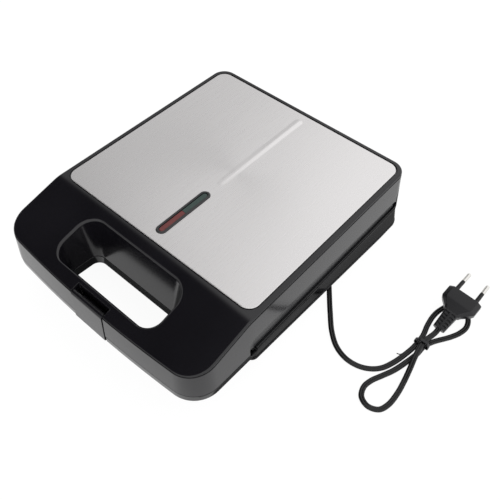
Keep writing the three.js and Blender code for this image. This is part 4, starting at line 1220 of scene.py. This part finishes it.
# %% Base: hull and handle
HANDLE_LOW = 33.0
HANDLE_ROUND = 2.0
HANDLE_BACK = 0.0
FLANGE_HEIGHT = 3.2
FLANGE_STEP = 1.5
FLANGE_LOW = BASE_HIGH - FLANGE_HEIGHT
COVER_RIM = 14.0
HULL_LOW = COVER_RIM + FIT
HULL_HALF = 106.8
HULL_FRONT_HALF = 102.5
HULL_FRONT = 1.0
HULL_RISE = 3.0  # how much further forward the hull starts at its top edge
HULL_REAR = 203.0
HULL_FRONT_RADIUS = 6
HULL_REAR_RADIUS = 11
HULL_MARKS = [20, 40, 60, 80, 100, 120, 140, 155, 170]
HULL_STEPS = 5
seam_grow = wall_grow(SEAM)
seam_out = LEAN * (LID_TOP - SEAM)
hull_outline = half_outline(
    HULL_HALF, HULL_FRONT, HULL_REAR, HULL_FRONT_RADIUS, HULL_REAR_RADIUS, 0.0, HULL_FRONT_HALF, HULL_MARKS
)
hull_top_outline = half_outline(
    LID_HALF_WIDTH + seam_out, HULL_FRONT - HULL_RISE, LID_REAR + seam_out, HULL_FRONT_RADIUS, REAR_RADIUS,
    marks=HULL_MARKS,
)


def hull(inset, low, high):
    foot, head = ring(hull_outline, -inset, low), ring(hull_top_outline, -FLANGE_STEP - inset, high)
    shares = spread(0, 1, HULL_STEPS)
    return skin("hull", [[between(p, q, share) for p, q in zip(foot, head)] for share in shares])


def handle_tray(inset, low):
    radius = max(0.0, HANDLE_ROUND - inset)
    curve = foot_curve(radius) if radius else [(0, 0)]
    rings = [ring(lid_outline, plus(seam_grow, -inset - less), low + up) for less, up in curve]
    tray = skin("tray", rings + [ring(lid_outline, plus(seam_grow, -inset), BASE_HIGH)])
    reach = 2 * LID_HALF_WIDTH
    front = LID_NOSE - 3 * OVERRUN
    return common(tray, block((-reach, front, low - OVERRUN), (reach, HANDLE_BACK - inset, LID_TOP)))


def base_skin(name):
    body = hull(0, HULL_LOW, FLANGE_LOW + FIT)
    body.name = name
    flange = level("flange", lid_outline, FLANGE_LOW, BASE_HIGH, seam_grow)
    return joined(body, handle_tray(0, HANDLE_LOW), flange)


print("hull:", len(hull_outline), "points a side")

# %% [markdown]
# The handle's well goes on through the base, with steeper walls. At the front end of each side recess
# the rim turns down round a small notch, in which the lid's recess ends. A step in the rim draws the
# seam as a dark line.

# %% Base: cutters
BASE_WELL_LEAN = 0.09
SHADOW_GAP = 0.75
SHADOW_DEPTH = 1.0
SIDE_NOTCH_FRONT = -8.0
SIDE_NOTCH_LOW = 37.3
SIDE_NOTCH_RADIUS = 3.4
SIDE_NOTCH_DEEP = 3.4


def base_well(grow, low, high):
    foot = BASE_WELL_LEAN * (SEAM - low)
    return skin("base_well", [ring(well_outline, well_grow(SEAM, grow - foot), low),
                              ring(well_outline, well_grow(SEAM, grow), high)])


def side_notches():
    """The two small openings in the rim at the front ends of the side recesses."""
    y, z, r = SIDE_NOTCH_FRONT, SIDE_NOTCH_LOW, SIDE_NOTCH_RADIUS
    view = [(y, SEAM + OVERRUN)] + round_corner(y + r, z + r, r, -2 * QUARTER, QUARTER)
    view += [(HANDLE_BACK, z), (HANDLE_BACK, SEAM + OVERRUN)]
    inner = LID_HALF_WIDTH + seam_out - SIDE_NOTCH_DEEP
    reach = 10 * OVERRUN
    middle = block((-inner, -reach, 0), (inner, reach, LID_TOP))
    return cut(side_view(view, LID_HALF_WIDTH + 2 * OVERRUN), middle)


def hinge_ears():
    ears = []
    for side in SIDES.values():
        for end in (-1, 1):
            inner = side * HINGE_X + end * (KNUCKLE_WIDTH / 2 + FIT)
            start = inner if end > 0 else inner - EAR_WIDTH
            ears.append(hinge_barrel(start, EAR_WIDTH, SEAM - KNUCKLE_RADIUS, BASE_HIGH))
    return ears


print("rim:", FLANGE_HEIGHT, "mm high, notches from", SIDE_NOTCH_FRONT, "to", HANDLE_BACK)

# %% [markdown]
# The base shell is made as the lid's was: skin, hollow, then the walls of the well and of the latch's
# pocket, and last all that is cut through them.

# %% Base shell
def base_shell():
    body = base_skin("base_shell")
    walls = common(base_well(WALL, HANDLE_LOW, BASE_HIGH), base_skin("within"))
    pocket = common(notch_block(HANDLE_LOW, FLANGE_LOW, WALL), base_skin("within"))
    hollow = joined(
        hull(WALL, HULL_LOW - OVERRUN, FLANGE_LOW),
        handle_tray(WALL, HANDLE_LOW + WALL),
        skin("top", [ring(lid_outline, plus(seam_grow, -WALL - FLANGE_STEP), FLANGE_LOW - FIT),
                     ring(lid_outline, plus(seam_grow, -WALL), BASE_HIGH + OVERRUN)]),
    )
    joined(cut(body, hollow), walls, pocket, *hinge_ears())
    return cut(
        body,
        base_well(0, HANDLE_LOW - OVERRUN, BASE_HIGH + OVERRUN),
        notch_block(HANDLE_LOW - OVERRUN, BASE_HIGH + OVERRUN, 0),
        side_notches(),
        groove_tool(steady(BASE_HIGH - SHADOW_GAP), steady(BASE_HIGH + OVERRUN), SHADOW_DEPTH - seam_out),
        *hinge_bores(),
    )


mounted(softened(base_shell(), FINE_EDGE), "base", "moulded_black", abs_gloss, "base_casing")

# %% [markdown]
# The base's inner frame is a flat sheet round the lower plate, cut free of the well and the latch.

# %% Base frame
CATCH_FRONT = -62


def base_frame():
    low, high = BASE_HIGH - FRAME_WALL, BASE_HIGH
    under, over = low - OVERRUN, high + OVERRUN
    half = LATCH_HALF + NOTCH_GAP
    return cut(
        level("base_frame", lid_outline, low, high, plus(seam_grow, -WALL - FLANGE_STEP - FIT)),
        level("opening", plate_outline, under, over, FIT),
        base_well(WALL + FIT, under, over),
        block((-half, LID_NOSE - 2 * OVERRUN, under), (half, CATCH_FRONT, over)),
    )


mounted(softened(base_frame(), MOULD_EDGE, 2), "base", "moulded_grey", pbt_grey, "base_liner")

# %% [markdown]
# Under the base, the cover is a shallow tray with a rounded edge. It has the well in which the lead
# leaves, two rows of vent slots, and four holes for the feet.

# %% Bottom cover
FOOT_HEIGHT = 8.0
FOOT_STEM = 3.0
FOOT_PLACES = {"front_left": (-80.0, 26.0), "rear_left": (-80.0, 170.0),
               "front_right": (80.0, 26.0), "rear_right": (80.0, 170.0)}
HOLE_SIDES = 24
COVER_PROUD = 0.4
COVER_ROUND = 3.6
COVER_SEAM = 0.1
CORD_WELL_LENGTH = 66.0
CORD_WELL_HALF = 6.7
CORD_WELL_TOP = 15.7
VENT_LENGTH = 22.0
VENT_HALF = 1.2
VENT_PITCH = 7.0
VENT_REACH = 3  # slots to either side of the middle one
VENT_ROWS = (52, 82)


def cord_well(grow):
    half, back = CORD_WELL_HALF + grow, FIT + grow
    body = block((-back, -half, -OVERRUN), (CORD_WELL_LENGTH + grow, half, CORD_WELL_TOP + grow))
    turned_there = Matrix.Rotation(GLAND_HEADING, 4, "Z") @ to_origin
    return moved(body, Matrix.Translation((GLAND_ROOT.x, GLAND_ROOT.y, 0)) @ turned_there)


def vent(x, y):
    outline = slot_outline(VENT_HALF, y, y + VENT_LENGTH)
    slot = level("vent", outline, FOOT_HEIGHT - OVERRUN, FOOT_HEIGHT + 2 * WALL)
    return moved(slot, Matrix.Translation((x * MM, 0, 0)))


def bottom_tray():
    inner, hole = COVER_PROUD - WALL, FOOT_STEM + FIT
    rings = [ring(hull_outline, COVER_PROUD - less, FOOT_HEIGHT + up)
             for less, up in foot_curve(COVER_ROUND)]
    body = skin("bottom_tray", rings + [ring(hull_outline, COVER_PROUD, COVER_RIM)])
    cut(body, level("room", hull_outline, FOOT_HEIGHT + WALL, COVER_RIM + OVERRUN, inner))
    inside = level("inside", hull_outline, FOOT_HEIGHT + COVER_SEAM, CORD_WELL_TOP + WALL, inner)
    joined(body, common(cord_well(WALL), inside))
    return cut(
        body, cord_well(0),
        *[vent(i * VENT_PITCH, y) for y in VENT_ROWS for i in range(-VENT_REACH, VENT_REACH + 1)],
        *[bar(x, y, 0, "z", COVER_RIM + OVERRUN, hole, HOLE_SIDES) for x, y in FOOT_PLACES.values()],
    )


mounted(softened(bottom_tray(), MOULD_EDGE, 2), "base", "moulded_black", abs_satin, "bottom_cover")

# %% [markdown]
# The feet are turned rubber, each held by a zinc-plated screw with a cross recess, sunk in the foot's
# hollow. Both are bodies of revolution, so a profile of heights and radii says it all.

# %% Feet and screws
FOOT_PROFILE = [  # (height, radius) from the screw's hollow outwards and up
    (2.5, 0), (2.5, 4.2), (0.35, 4.2), (0, 4.55), (0, 5.9), (0.5, 6.15), (0.5, 6.75), (0, 7.0), (0, 8.5),
    (0.3, 9.22), (1.0, 9.5), (1.5, 9.42), (5.6, 8.7), (7.2, 8.45), (7.7, 8.0), (7.7, 3), (10.9, 3),
    (10.9, 0),
]
FOOT_SIDES = 64
SCREW_PROFILE = [(1.1, 0), (1.1, 1.6), (1.35, 2.7), (1.9, 3.3), (2.5, 3.3), (2.5, 0)]
SCREW_SIDES = 32
CROSS_LONG = 2.1
CROSS_SHORT = 0.42
CROSS_TOP = 2.0


def foot_screw(x, y):
    head = turned("foot_screw", place(x, y, 0), (0, 0, 1), SCREW_PROFILE, SCREW_SIDES)
    return cut(head, *[block((x - a, y - b, 0), (x + a, y + b, CROSS_TOP))
                       for a, b in ((CROSS_LONG, CROSS_SHORT), (CROSS_SHORT, CROSS_LONG))])


for name, (x, y) in FOOT_PLACES.items():
    foot = turned("rubber_foot_" + name, place(x, y, 0), (0, 0, 1), FOOT_PROFILE, FOOT_SIDES)
    mounted(settled(foot), "base", "black_rubber", rubber_black, "foot_" + name)
    mounted(foot_screw(x, y), "base", "bright_steel", zinc_screw)

# %% [markdown]
# The two cast plates print five hearts round a middle point. Each hollow is drawn as a heart that
# shrinks as it goes down, so that the waffle comes out, with a rounded foot and four-sided studs.
# The photo shows the lid shut, so this pattern is the usual one for its kind.

# %% Hearts and studs
HEART_TIP = 7.5
HEART_REACH = 56.0
HEART_HALF_ANGLE = math.radians(33)
HEART_LOBE = 0.47 * HEART_HALF_ANGLE
HOLLOW_DEPTH = 6.0
HOLLOW_DRAFT = 1.4
HOLLOW_ROUND = 1.5
HOLLOW_STEPS = 5
STUD_PITCH = 13.5
STUD_HEIGHT = 3.5
STUD_FOOT = 5.2
STUD_HEAD = 3.2
STUD_CORNERS = [(0.7071, 0.7071), (-0.7071, 0.7071), (-0.7071, -0.7071), (0.7071, -0.7071)]
LOBE_STEPS = 26
CUSP_STEPS = 5
lobe_radius = HEART_REACH * math.sin(HEART_HALF_ANGLE - HEART_LOBE)
lobe_x = HEART_REACH * math.sin(HEART_LOBE)
lobe_y = HEART_TIP + HEART_REACH * math.cos(HEART_LOBE)


def heart_ring(grow, z):
    """A heart pushed out by grow, from its point round the right lobe to the cusp, and back."""
    radius = lobe_radius + grow
    cusp = math.acos(-lobe_x / lobe_radius)
    right = [(0.0, HEART_TIP - grow / math.sin(HEART_HALF_ANGLE))]
    right += round_corner(lobe_x, lobe_y, radius, -HEART_HALF_ANGLE, cusp + HEART_HALF_ANGLE, LOBE_STEPS)
    cusp_y = lobe_y + lobe_radius * math.sin(cusp)
    turn = spread(cusp - math.pi, -QUARTER, CUSP_STEPS)[1:]
    right += [(-grow * math.cos(a), cusp_y - grow * math.sin(a)) for a in turn[:-1]] + [(0.0, cusp_y + grow)]
    return [(x, y, z) for x, y in right + [(-x, y) for x, y in reversed(right[1:-1])]]


def in_heart(x, y):
    in_lobe = math.hypot(abs(x) - lobe_x, y - lobe_y) < lobe_radius
    return in_lobe or (abs(x) < (y - HEART_TIP) * math.tan(HEART_HALF_ANGLE) and y < lobe_y)


def stud(x, y):
    foot = STUD_FOOT + (STUD_FOOT - STUD_HEAD) * OVERRUN / STUD_HEIGHT
    ends = ((foot, -HOLLOW_DEPTH - OVERRUN), (STUD_HEAD, STUD_HEIGHT - HOLLOW_DEPTH))
    points = [place(x + reach * s, y + reach * t, z) for reach, z in ends for s, t in STUD_CORNERS]
    return mesh_piece("stud", points, [(3, 2, 1, 0), (4, 5, 6, 7)] + bands(2, 4))


def heart_tool():
    rings = [heart_ring(-HOLLOW_DRAFT - less, -HOLLOW_DEPTH + up)
             for less, up in foot_curve(HOLLOW_ROUND, HOLLOW_STEPS)]
    tool = skin("heart", rings + [heart_ring(0, 0), heart_ring(0, OVERRUN)], True)
    reach = math.ceil((HEART_TIP + HEART_REACH + lobe_radius) / STUD_PITCH)
    places = [(c * STUD_PITCH, HEART_TIP + (r + 1) * STUD_PITCH)
              for r in range(reach + 1) for c in range(-reach, reach + 1)]
    return cut(tool, *[stud(x, y) for x, y in places if in_heart(x, y)])


print("heart:", round(2 * (lobe_x + lobe_radius)), "mm wide")

# %% [markdown]
# One heart with its studs is made once, and five turned copies of it are cut from the plate. The
# upper plate is the lower one in a mirror, as the halves of such a mould are.

# %% Cooking plates
PLATE_THICK = 9.5
PLATE_FLANGE = 4.0
PLATE_FLANGE_THICK = 3.0
PLATE_EDGE = 0.35
HEARTS = 5
plate_middle = Vector((0, STEEL_FRONT, 0)) + Vector((0, (PLATE_FRONT + PLATE_REAR) / 2 * MM, 0))


def cast_plate(name):
    blank = level(name, plate_outline, -PLATE_THICK, 0)
    top = -FRAME_WALL - FIT
    joined(blank, level("flange", plate_outline, top - PLATE_FLANGE_THICK, top, PLATE_FLANGE))
    first = heart_tool()
    turns = [Matrix.Rotation(2 * math.pi * i / HEARTS, 4, "Z") for i in range(HEARTS)]
    shift = Matrix.Translation(plate_middle)
    tools = [moved(copied(first, "heart_tool"), shift @ turn @ to_origin) for turn in turns]
    bpy.data.objects.remove(first)
    return softened(cut(blank, *tools), PLATE_EDGE)


lower = cast_plate("cast_plate_lower")
upper = moved(copied(lower, "cast_plate_upper"), Matrix.Diagonal((1, 1, -1, 1)))
upper.data.flip_normals()
moved(lower, Matrix.Translation((0, 0, BASE_HIGH * MM)))
moved(upper, Matrix.Translation((0, 0, LID_LOW * MM)))
mounted(lower, "base", "coated_plate", plate_coated, "lower_plate")
mounted(upper, "lid", "coated_plate", plate_coated, "upper_plate")

# %% [markdown]
# The parts behind the plates stay as the measured model has them. They are seen only when the lid is
# open or the cover is off, so they just get their real materials.

# %% Materials of the inner parts
INNER = {
    "upper_heater": tube_annealed, "lower_heater": tube_annealed,
    "upper_reflector": sheet_rolled, "lower_reflector": sheet_rolled,
    "thermostat": steatite, "thermal_fuse": steatite, "terminal_block": steatite,
    "lamp_holder": pbt_grey, "red_lamp": lamp_glass, "green_lamp": lamp_glass,
    "latch_pin": pin_ground, "hinge_pin_left": pin_ground, "hinge_pin_right": pin_ground,
}
for name, material in INNER.items():
    mesh = bpy.data.objects[name].data
    mesh.materials.clear()
    mesh.materials.append(material)
print("inner parts dressed:", len(INNER))

# %% [markdown]
# The lead leaves through a rubber strain relief: a collar with broken edges, then a cone with grooves
# that let it bend. It is a body of revolution, so its profile is built up groove by groove.

# %% Strain relief
GLAND_COLLAR = 6.4
GLAND_COLLAR_THICK = 2.4
GLAND_CHAMFER = 0.4
GLAND_RADIUS = 4.6
GLAND_TIP = 3.3
GLAND_TIP_LENGTH = 0.6
GLAND_TIP_STEP = 0.5
GLAND_PLAIN = 3  # millimetres of cone without grooves, at both ends
GLAND_RINGS = 7
GLAND_GROOVE = 0.7
GROOVE_SHAPE = [  # (share of the pitch, share of the depth)
    (0, 0), (0.08, 0.6), (0.16, 1), (0.4, 1), (0.48, 0.6), (0.56, 0),
]
gland_mm = GLAND_LENGTH / MM


def cone(along):
    return GLAND_RADIUS + (GLAND_TIP - GLAND_RADIUS) * along / gland_mm


def gland_profile():
    face, back = GLAND_COLLAR - GLAND_CHAMFER, GLAND_COLLAR_THICK - GLAND_CHAMFER
    profile = [(0, 0), (0, face), (GLAND_CHAMFER, GLAND_COLLAR), (back, GLAND_COLLAR),
               (GLAND_COLLAR_THICK, face), (GLAND_COLLAR_THICK, GLAND_RADIUS)]
    start = GLAND_COLLAR_THICK + GLAND_PLAIN
    pitch = (gland_mm - GLAND_PLAIN - start) / GLAND_RINGS
    for i in range(GLAND_RINGS):
        for share, deep in GROOVE_SHAPE:
            along = start + (i + share) * pitch
            profile.append((along, cone(along) - deep * GLAND_GROOVE))
    tip = gland_mm - GLAND_TIP_LENGTH
    return profile + [(tip, cone(tip)), (gland_mm, GLAND_TIP - GLAND_TIP_STEP), (gland_mm, 0)]


gland = turned("strain_relief", GLAND_ROOT, gland_way, gland_profile())
mounted(settled(gland), "base", "black_rubber", rubber_black, "cord_gland")

# %% [markdown]
# A wire tie holds the three strands of the bundle. Its flat band is drawn round the places where the
# strands lie, so that it fits them. Its corners are cut off again and again, which rounds them.

# %% Wire tie: band
TIE_PLACE = 108.0
TIE_WIDTH = 2.4
TIE_THICK = 0.6
TIE_SLACK = 0.6
TIE_ABOVE = 0.05  # it clears the table by this much
TIE_CLEAR = 134.8  # the bundle lies to the right of this
TIE_ROUNDS = 3
TIE_CUTS = (0.12, 0.88)  # where on a side its two corners are cut off
TIE_EDGE = 0.12
CORD_HALF_THICK = 1.5
strands = [(v.x / MM, v.z / MM) for v in cord_line
           if v.x / MM > TIE_CLEAR and abs((v.y - STEEL_FRONT) / MM - TIE_PLACE) < TIE_WIDTH / 2]


def tie_outline(out):
    """The band's section round the three strands, as (x, z) in millimetres with rounded corners."""
    reach = CORD_WIDTH / 2 / MM + out
    across, upper = [x for x, z in strands], [x for x, z in strands if z > 2 * CORD_HALF_THICK]
    low, high = min(across) - reach, max(across) + reach
    under, shoulder = TIE_ABOVE + TIE_SLACK + TIE_THICK - out, 2 * CORD_HALF_THICK + out
    top = max(z for x, z in strands) + CORD_HALF_THICK + out
    points = [(low, under), (high, under), (high, shoulder),
              (max(upper) + reach, top), (min(upper) - reach, top), (low, shoulder)]
    for _ in range(TIE_ROUNDS):
        sides = zip(points, points[1:] + points[:1])
        points = [between(a, b, share) for a, b in sides for share in TIE_CUTS]
    return points


def tie_band():
    inner, outer = tie_outline(TIE_SLACK), tie_outline(TIE_SLACK + TIE_THICK)
    count = len(inner)
    points = [place(x, TIE_PLACE + side * TIE_WIDTH / 2, z)
              for side in (-1, 1) for loop in (inner, outer) for x, z in loop]
    faces = []
    for i in range(count):
        j = (i + 1) % count
        faces += [(i, j, count + j, count + i), (2 * count + j, 2 * count + i, 3 * count + i, 3 * count + j),
                  (i, 2 * count + i, 2 * count + j, j), (count + i, count + j, 3 * count + j, 3 * count + i)]
    return mesh_piece("wire_tie", points, faces)


tie = mounted(softened(settled(tie_band()), TIE_EDGE, 2), "base", "black_rubber", pvc_plug, "cord_tie")

# %% [markdown]
# The tie's twisted tail lies beside the lead. It follows the lead's own curve backwards from the band,
# then bends away at its end.

# %% Wire tie: tail
TAIL_RADIUS = 0.4
TAIL_FROM = 92.0
TAIL_BESIDE = 2.2  # from the lead's middle: the tail lies under its rounded flank
TAIL_HEIGHT = 0.5
TAIL_EVERY = 4  # it follows each fourth sample of the lead
TAIL_END = [(183.2, 89.4, 0.6), (181.6, 88.5, 0.7), (180.6, 88.2, 0.9)]
TAIL_SAMPLES = 40
TAIL_SIDES = 12
FIRST_WAY = 2 * CORD_SAMPLES // 5  # samples of the lead's first way past the tie
strand = [p for p in cord_line[:FIRST_WAY]
          if p.x > TIE_CLEAR * MM and TAIL_FROM * MM < p.y - STEEL_FRONT < TIE_PLACE * MM]
beside = [Vector((p.x - TAIL_BESIDE * MM, p.y, TAIL_HEIGHT * MM)) for p in strand[::-TAIL_EVERY]]
tail_line = centripetal(beside + [place(*point) for point in TAIL_END], TAIL_SAMPLES)
tail_section = round_corner(0, 0, TAIL_RADIUS * MM, 0, 4 * QUARTER, TAIL_SIDES)[:-1]
mounted(settled(swept("tie_tail", tail_line, tail_section)), "base", "black_rubber", pvc_plug)

# %% [markdown]
# The plug is one soft moulding: bevelled flanks to grip, a straight part, a neck, and a strain relief
# with a spine between two columns of slots. A stack of octagons gives it, and their sizes ease from
# the flanks into the neck. All of it is made upright at the origin, and then laid in its place.

# %% Plug: body
PLUG_SIZE = (30.6, 12.6, 3.6)  # width, height and bevel
NECK_SIZE = (14.4, 9.6, 1.6)
RELIEF_SIZE = (12.0, 8.6, 1.6)
RELIEF_END_SIZE = (10.2, 5.6, 1.6)
PLUG_EDGE = 1.0
PLUG_EDGE_IN = 0.6
PLUG_STRAIGHT = 10.3
PLUG_SOFT = 0.4
NECK_STEPS = 8
NECK_EASE = 0.6  # share of a smooth step in the neck's curve, the rest is straight
NECK_SHOULDER = 1.0
RELIEF_SLOTS = 5
SLOT_FIRST = 1.6
SLOT_ENDS = 2.4  # length without slots, at both ends together
SLOT_DEPTH = 1.3
SLOT_SHARE = 0.52
SPINE_HALF = 1.1
RAIL = 1.2
body_mm, relief_mm = PLUG_BODY / MM, PLUG_RELIEF / MM


def octagon(size, along, grow=0.0):
    width, height, bevel = size
    w, h = width / 2 + grow, height / 2 + grow
    right = [(0, -h), (w - bevel, -h), (w, bevel - h), (w, h - bevel), (w - bevel, h), (0, h)]
    return [(x, y, along) for x, y in right + [(-x, y) for x, y in reversed(right[1:-1])]]


def plug_skin():
    rings = [octagon(PLUG_SIZE, 0, -PLUG_EDGE_IN), octagon(PLUG_SIZE, PLUG_EDGE)]
    for t in spread(0, 1, NECK_STEPS):
        ease = t * t * (3 - 2 * t) * NECK_EASE + t * (1 - NECK_EASE)
        along = PLUG_STRAIGHT + (body_mm - PLUG_STRAIGHT) * t
        rings.append(octagon(between(PLUG_SIZE, NECK_SIZE, ease), along))
    rings.append(octagon(RELIEF_SIZE, body_mm + NECK_SHOULDER))
    rings.append(octagon(RELIEF_END_SIZE, body_mm + relief_mm))
    return moved(skin("plug_moulding", rings), to_origin)


def relief_slots():
    """Two columns of slots in each face, with the spine between them."""
    pitch = (relief_mm - SLOT_ENDS) / RELIEF_SLOTS
    slots = []
    for i in range(RELIEF_SLOTS):
        behind = SLOT_FIRST + i * pitch
        low, high = body_mm + behind, body_mm + behind + pitch * SLOT_SHARE
        width, height, _ = between(RELIEF_SIZE, RELIEF_END_SIZE, behind / relief_mm)
        for side in (-1, 1):
            across = sorted((side * SPINE_HALF, side * (width / 2 - RAIL)))
            for face in (-1, 1):
                deep = sorted((face * (height / 2 - SLOT_DEPTH), face * (height / 2 + OVERRUN)))
                slot = block((across[0], deep[0], low), (across[1], deep[1], high))
                slots.append(moved(slot, to_origin))
    return slots


print("plug:", PLUG_SIZE[0], "mm wide,", round(body_mm + relief_mm, 1), "mm long")

# %% [markdown]
# A strip of the moulding runs between the two pins. The pins are nickel-plated brass with round ends,
# half covered by sleeves, and lean together a little. They are turned bodies like the feet.

# %% Plug: pins
PIN_SPACING = 18.6
PIN_LEAN = 0.03  # the pins lean together, so that they spring out in a socket
PIN_END = 19.6
PLUG_PIN_RADIUS = 1.75
STRIP_GAP = 3.4
STRIP_HALF = 1.1
STRIP_PROUD = 0.5
SLEEVE_END = 10.3
SLEEVE_PROFILE = [  # (along, radius) from the plug's face outwards
    (FIT, 0), (FIT, 2.0), (1.2, 2.0), (2.6, 1.85), (10.0, 1.75), (SLEEVE_END, 1.55), (SLEEVE_END, 0),
]
PIN_PROFILE = (
    [(SLEEVE_END + FIT, 0), (SLEEVE_END + FIT, PLUG_PIN_RADIUS)]
    + round_corner(PIN_END - PLUG_PIN_RADIUS, 0, PLUG_PIN_RADIUS, QUARTER, -QUARTER)[:-1]
    + [(PIN_END, 0)]
)


def plug_moulding():
    reach = PIN_SPACING / 2 - STRIP_GAP
    strip = block((-reach, -STRIP_HALF, -STRIP_PROUD), (reach, STRIP_HALF, PLUG_EDGE))
    moulding = joined(cut(plug_skin(), *relief_slots()), moved(strip, to_origin))
    return moved(softened(moulding, PLUG_SOFT), plug_place)


def along_pin(name, side, profile):
    start = Vector((side * PIN_SPACING / 2 * MM, 0, 0))
    return settled(moved(turned(name, start, (-side * PIN_LEAN, 0, -1), profile), plug_place))


plug = mounted(plug_moulding(), "base", "cord_pvc", pvc_plug, "plug_body")
for name, side in SIDES.items():
    sleeve = along_pin("pin_sleeve_" + name, side, SLEEVE_PROFILE)
    pin = along_pin("pin_" + name, side, PIN_PROFILE)
    mounted(sleeve, "base", "cord_pvc", pvc_plug, "plug_sleeve_" + name)
    mounted(pin, "base", "nickel", nickel_plated, "plug_pin_" + name)
shaded(cord, pvc_lead)
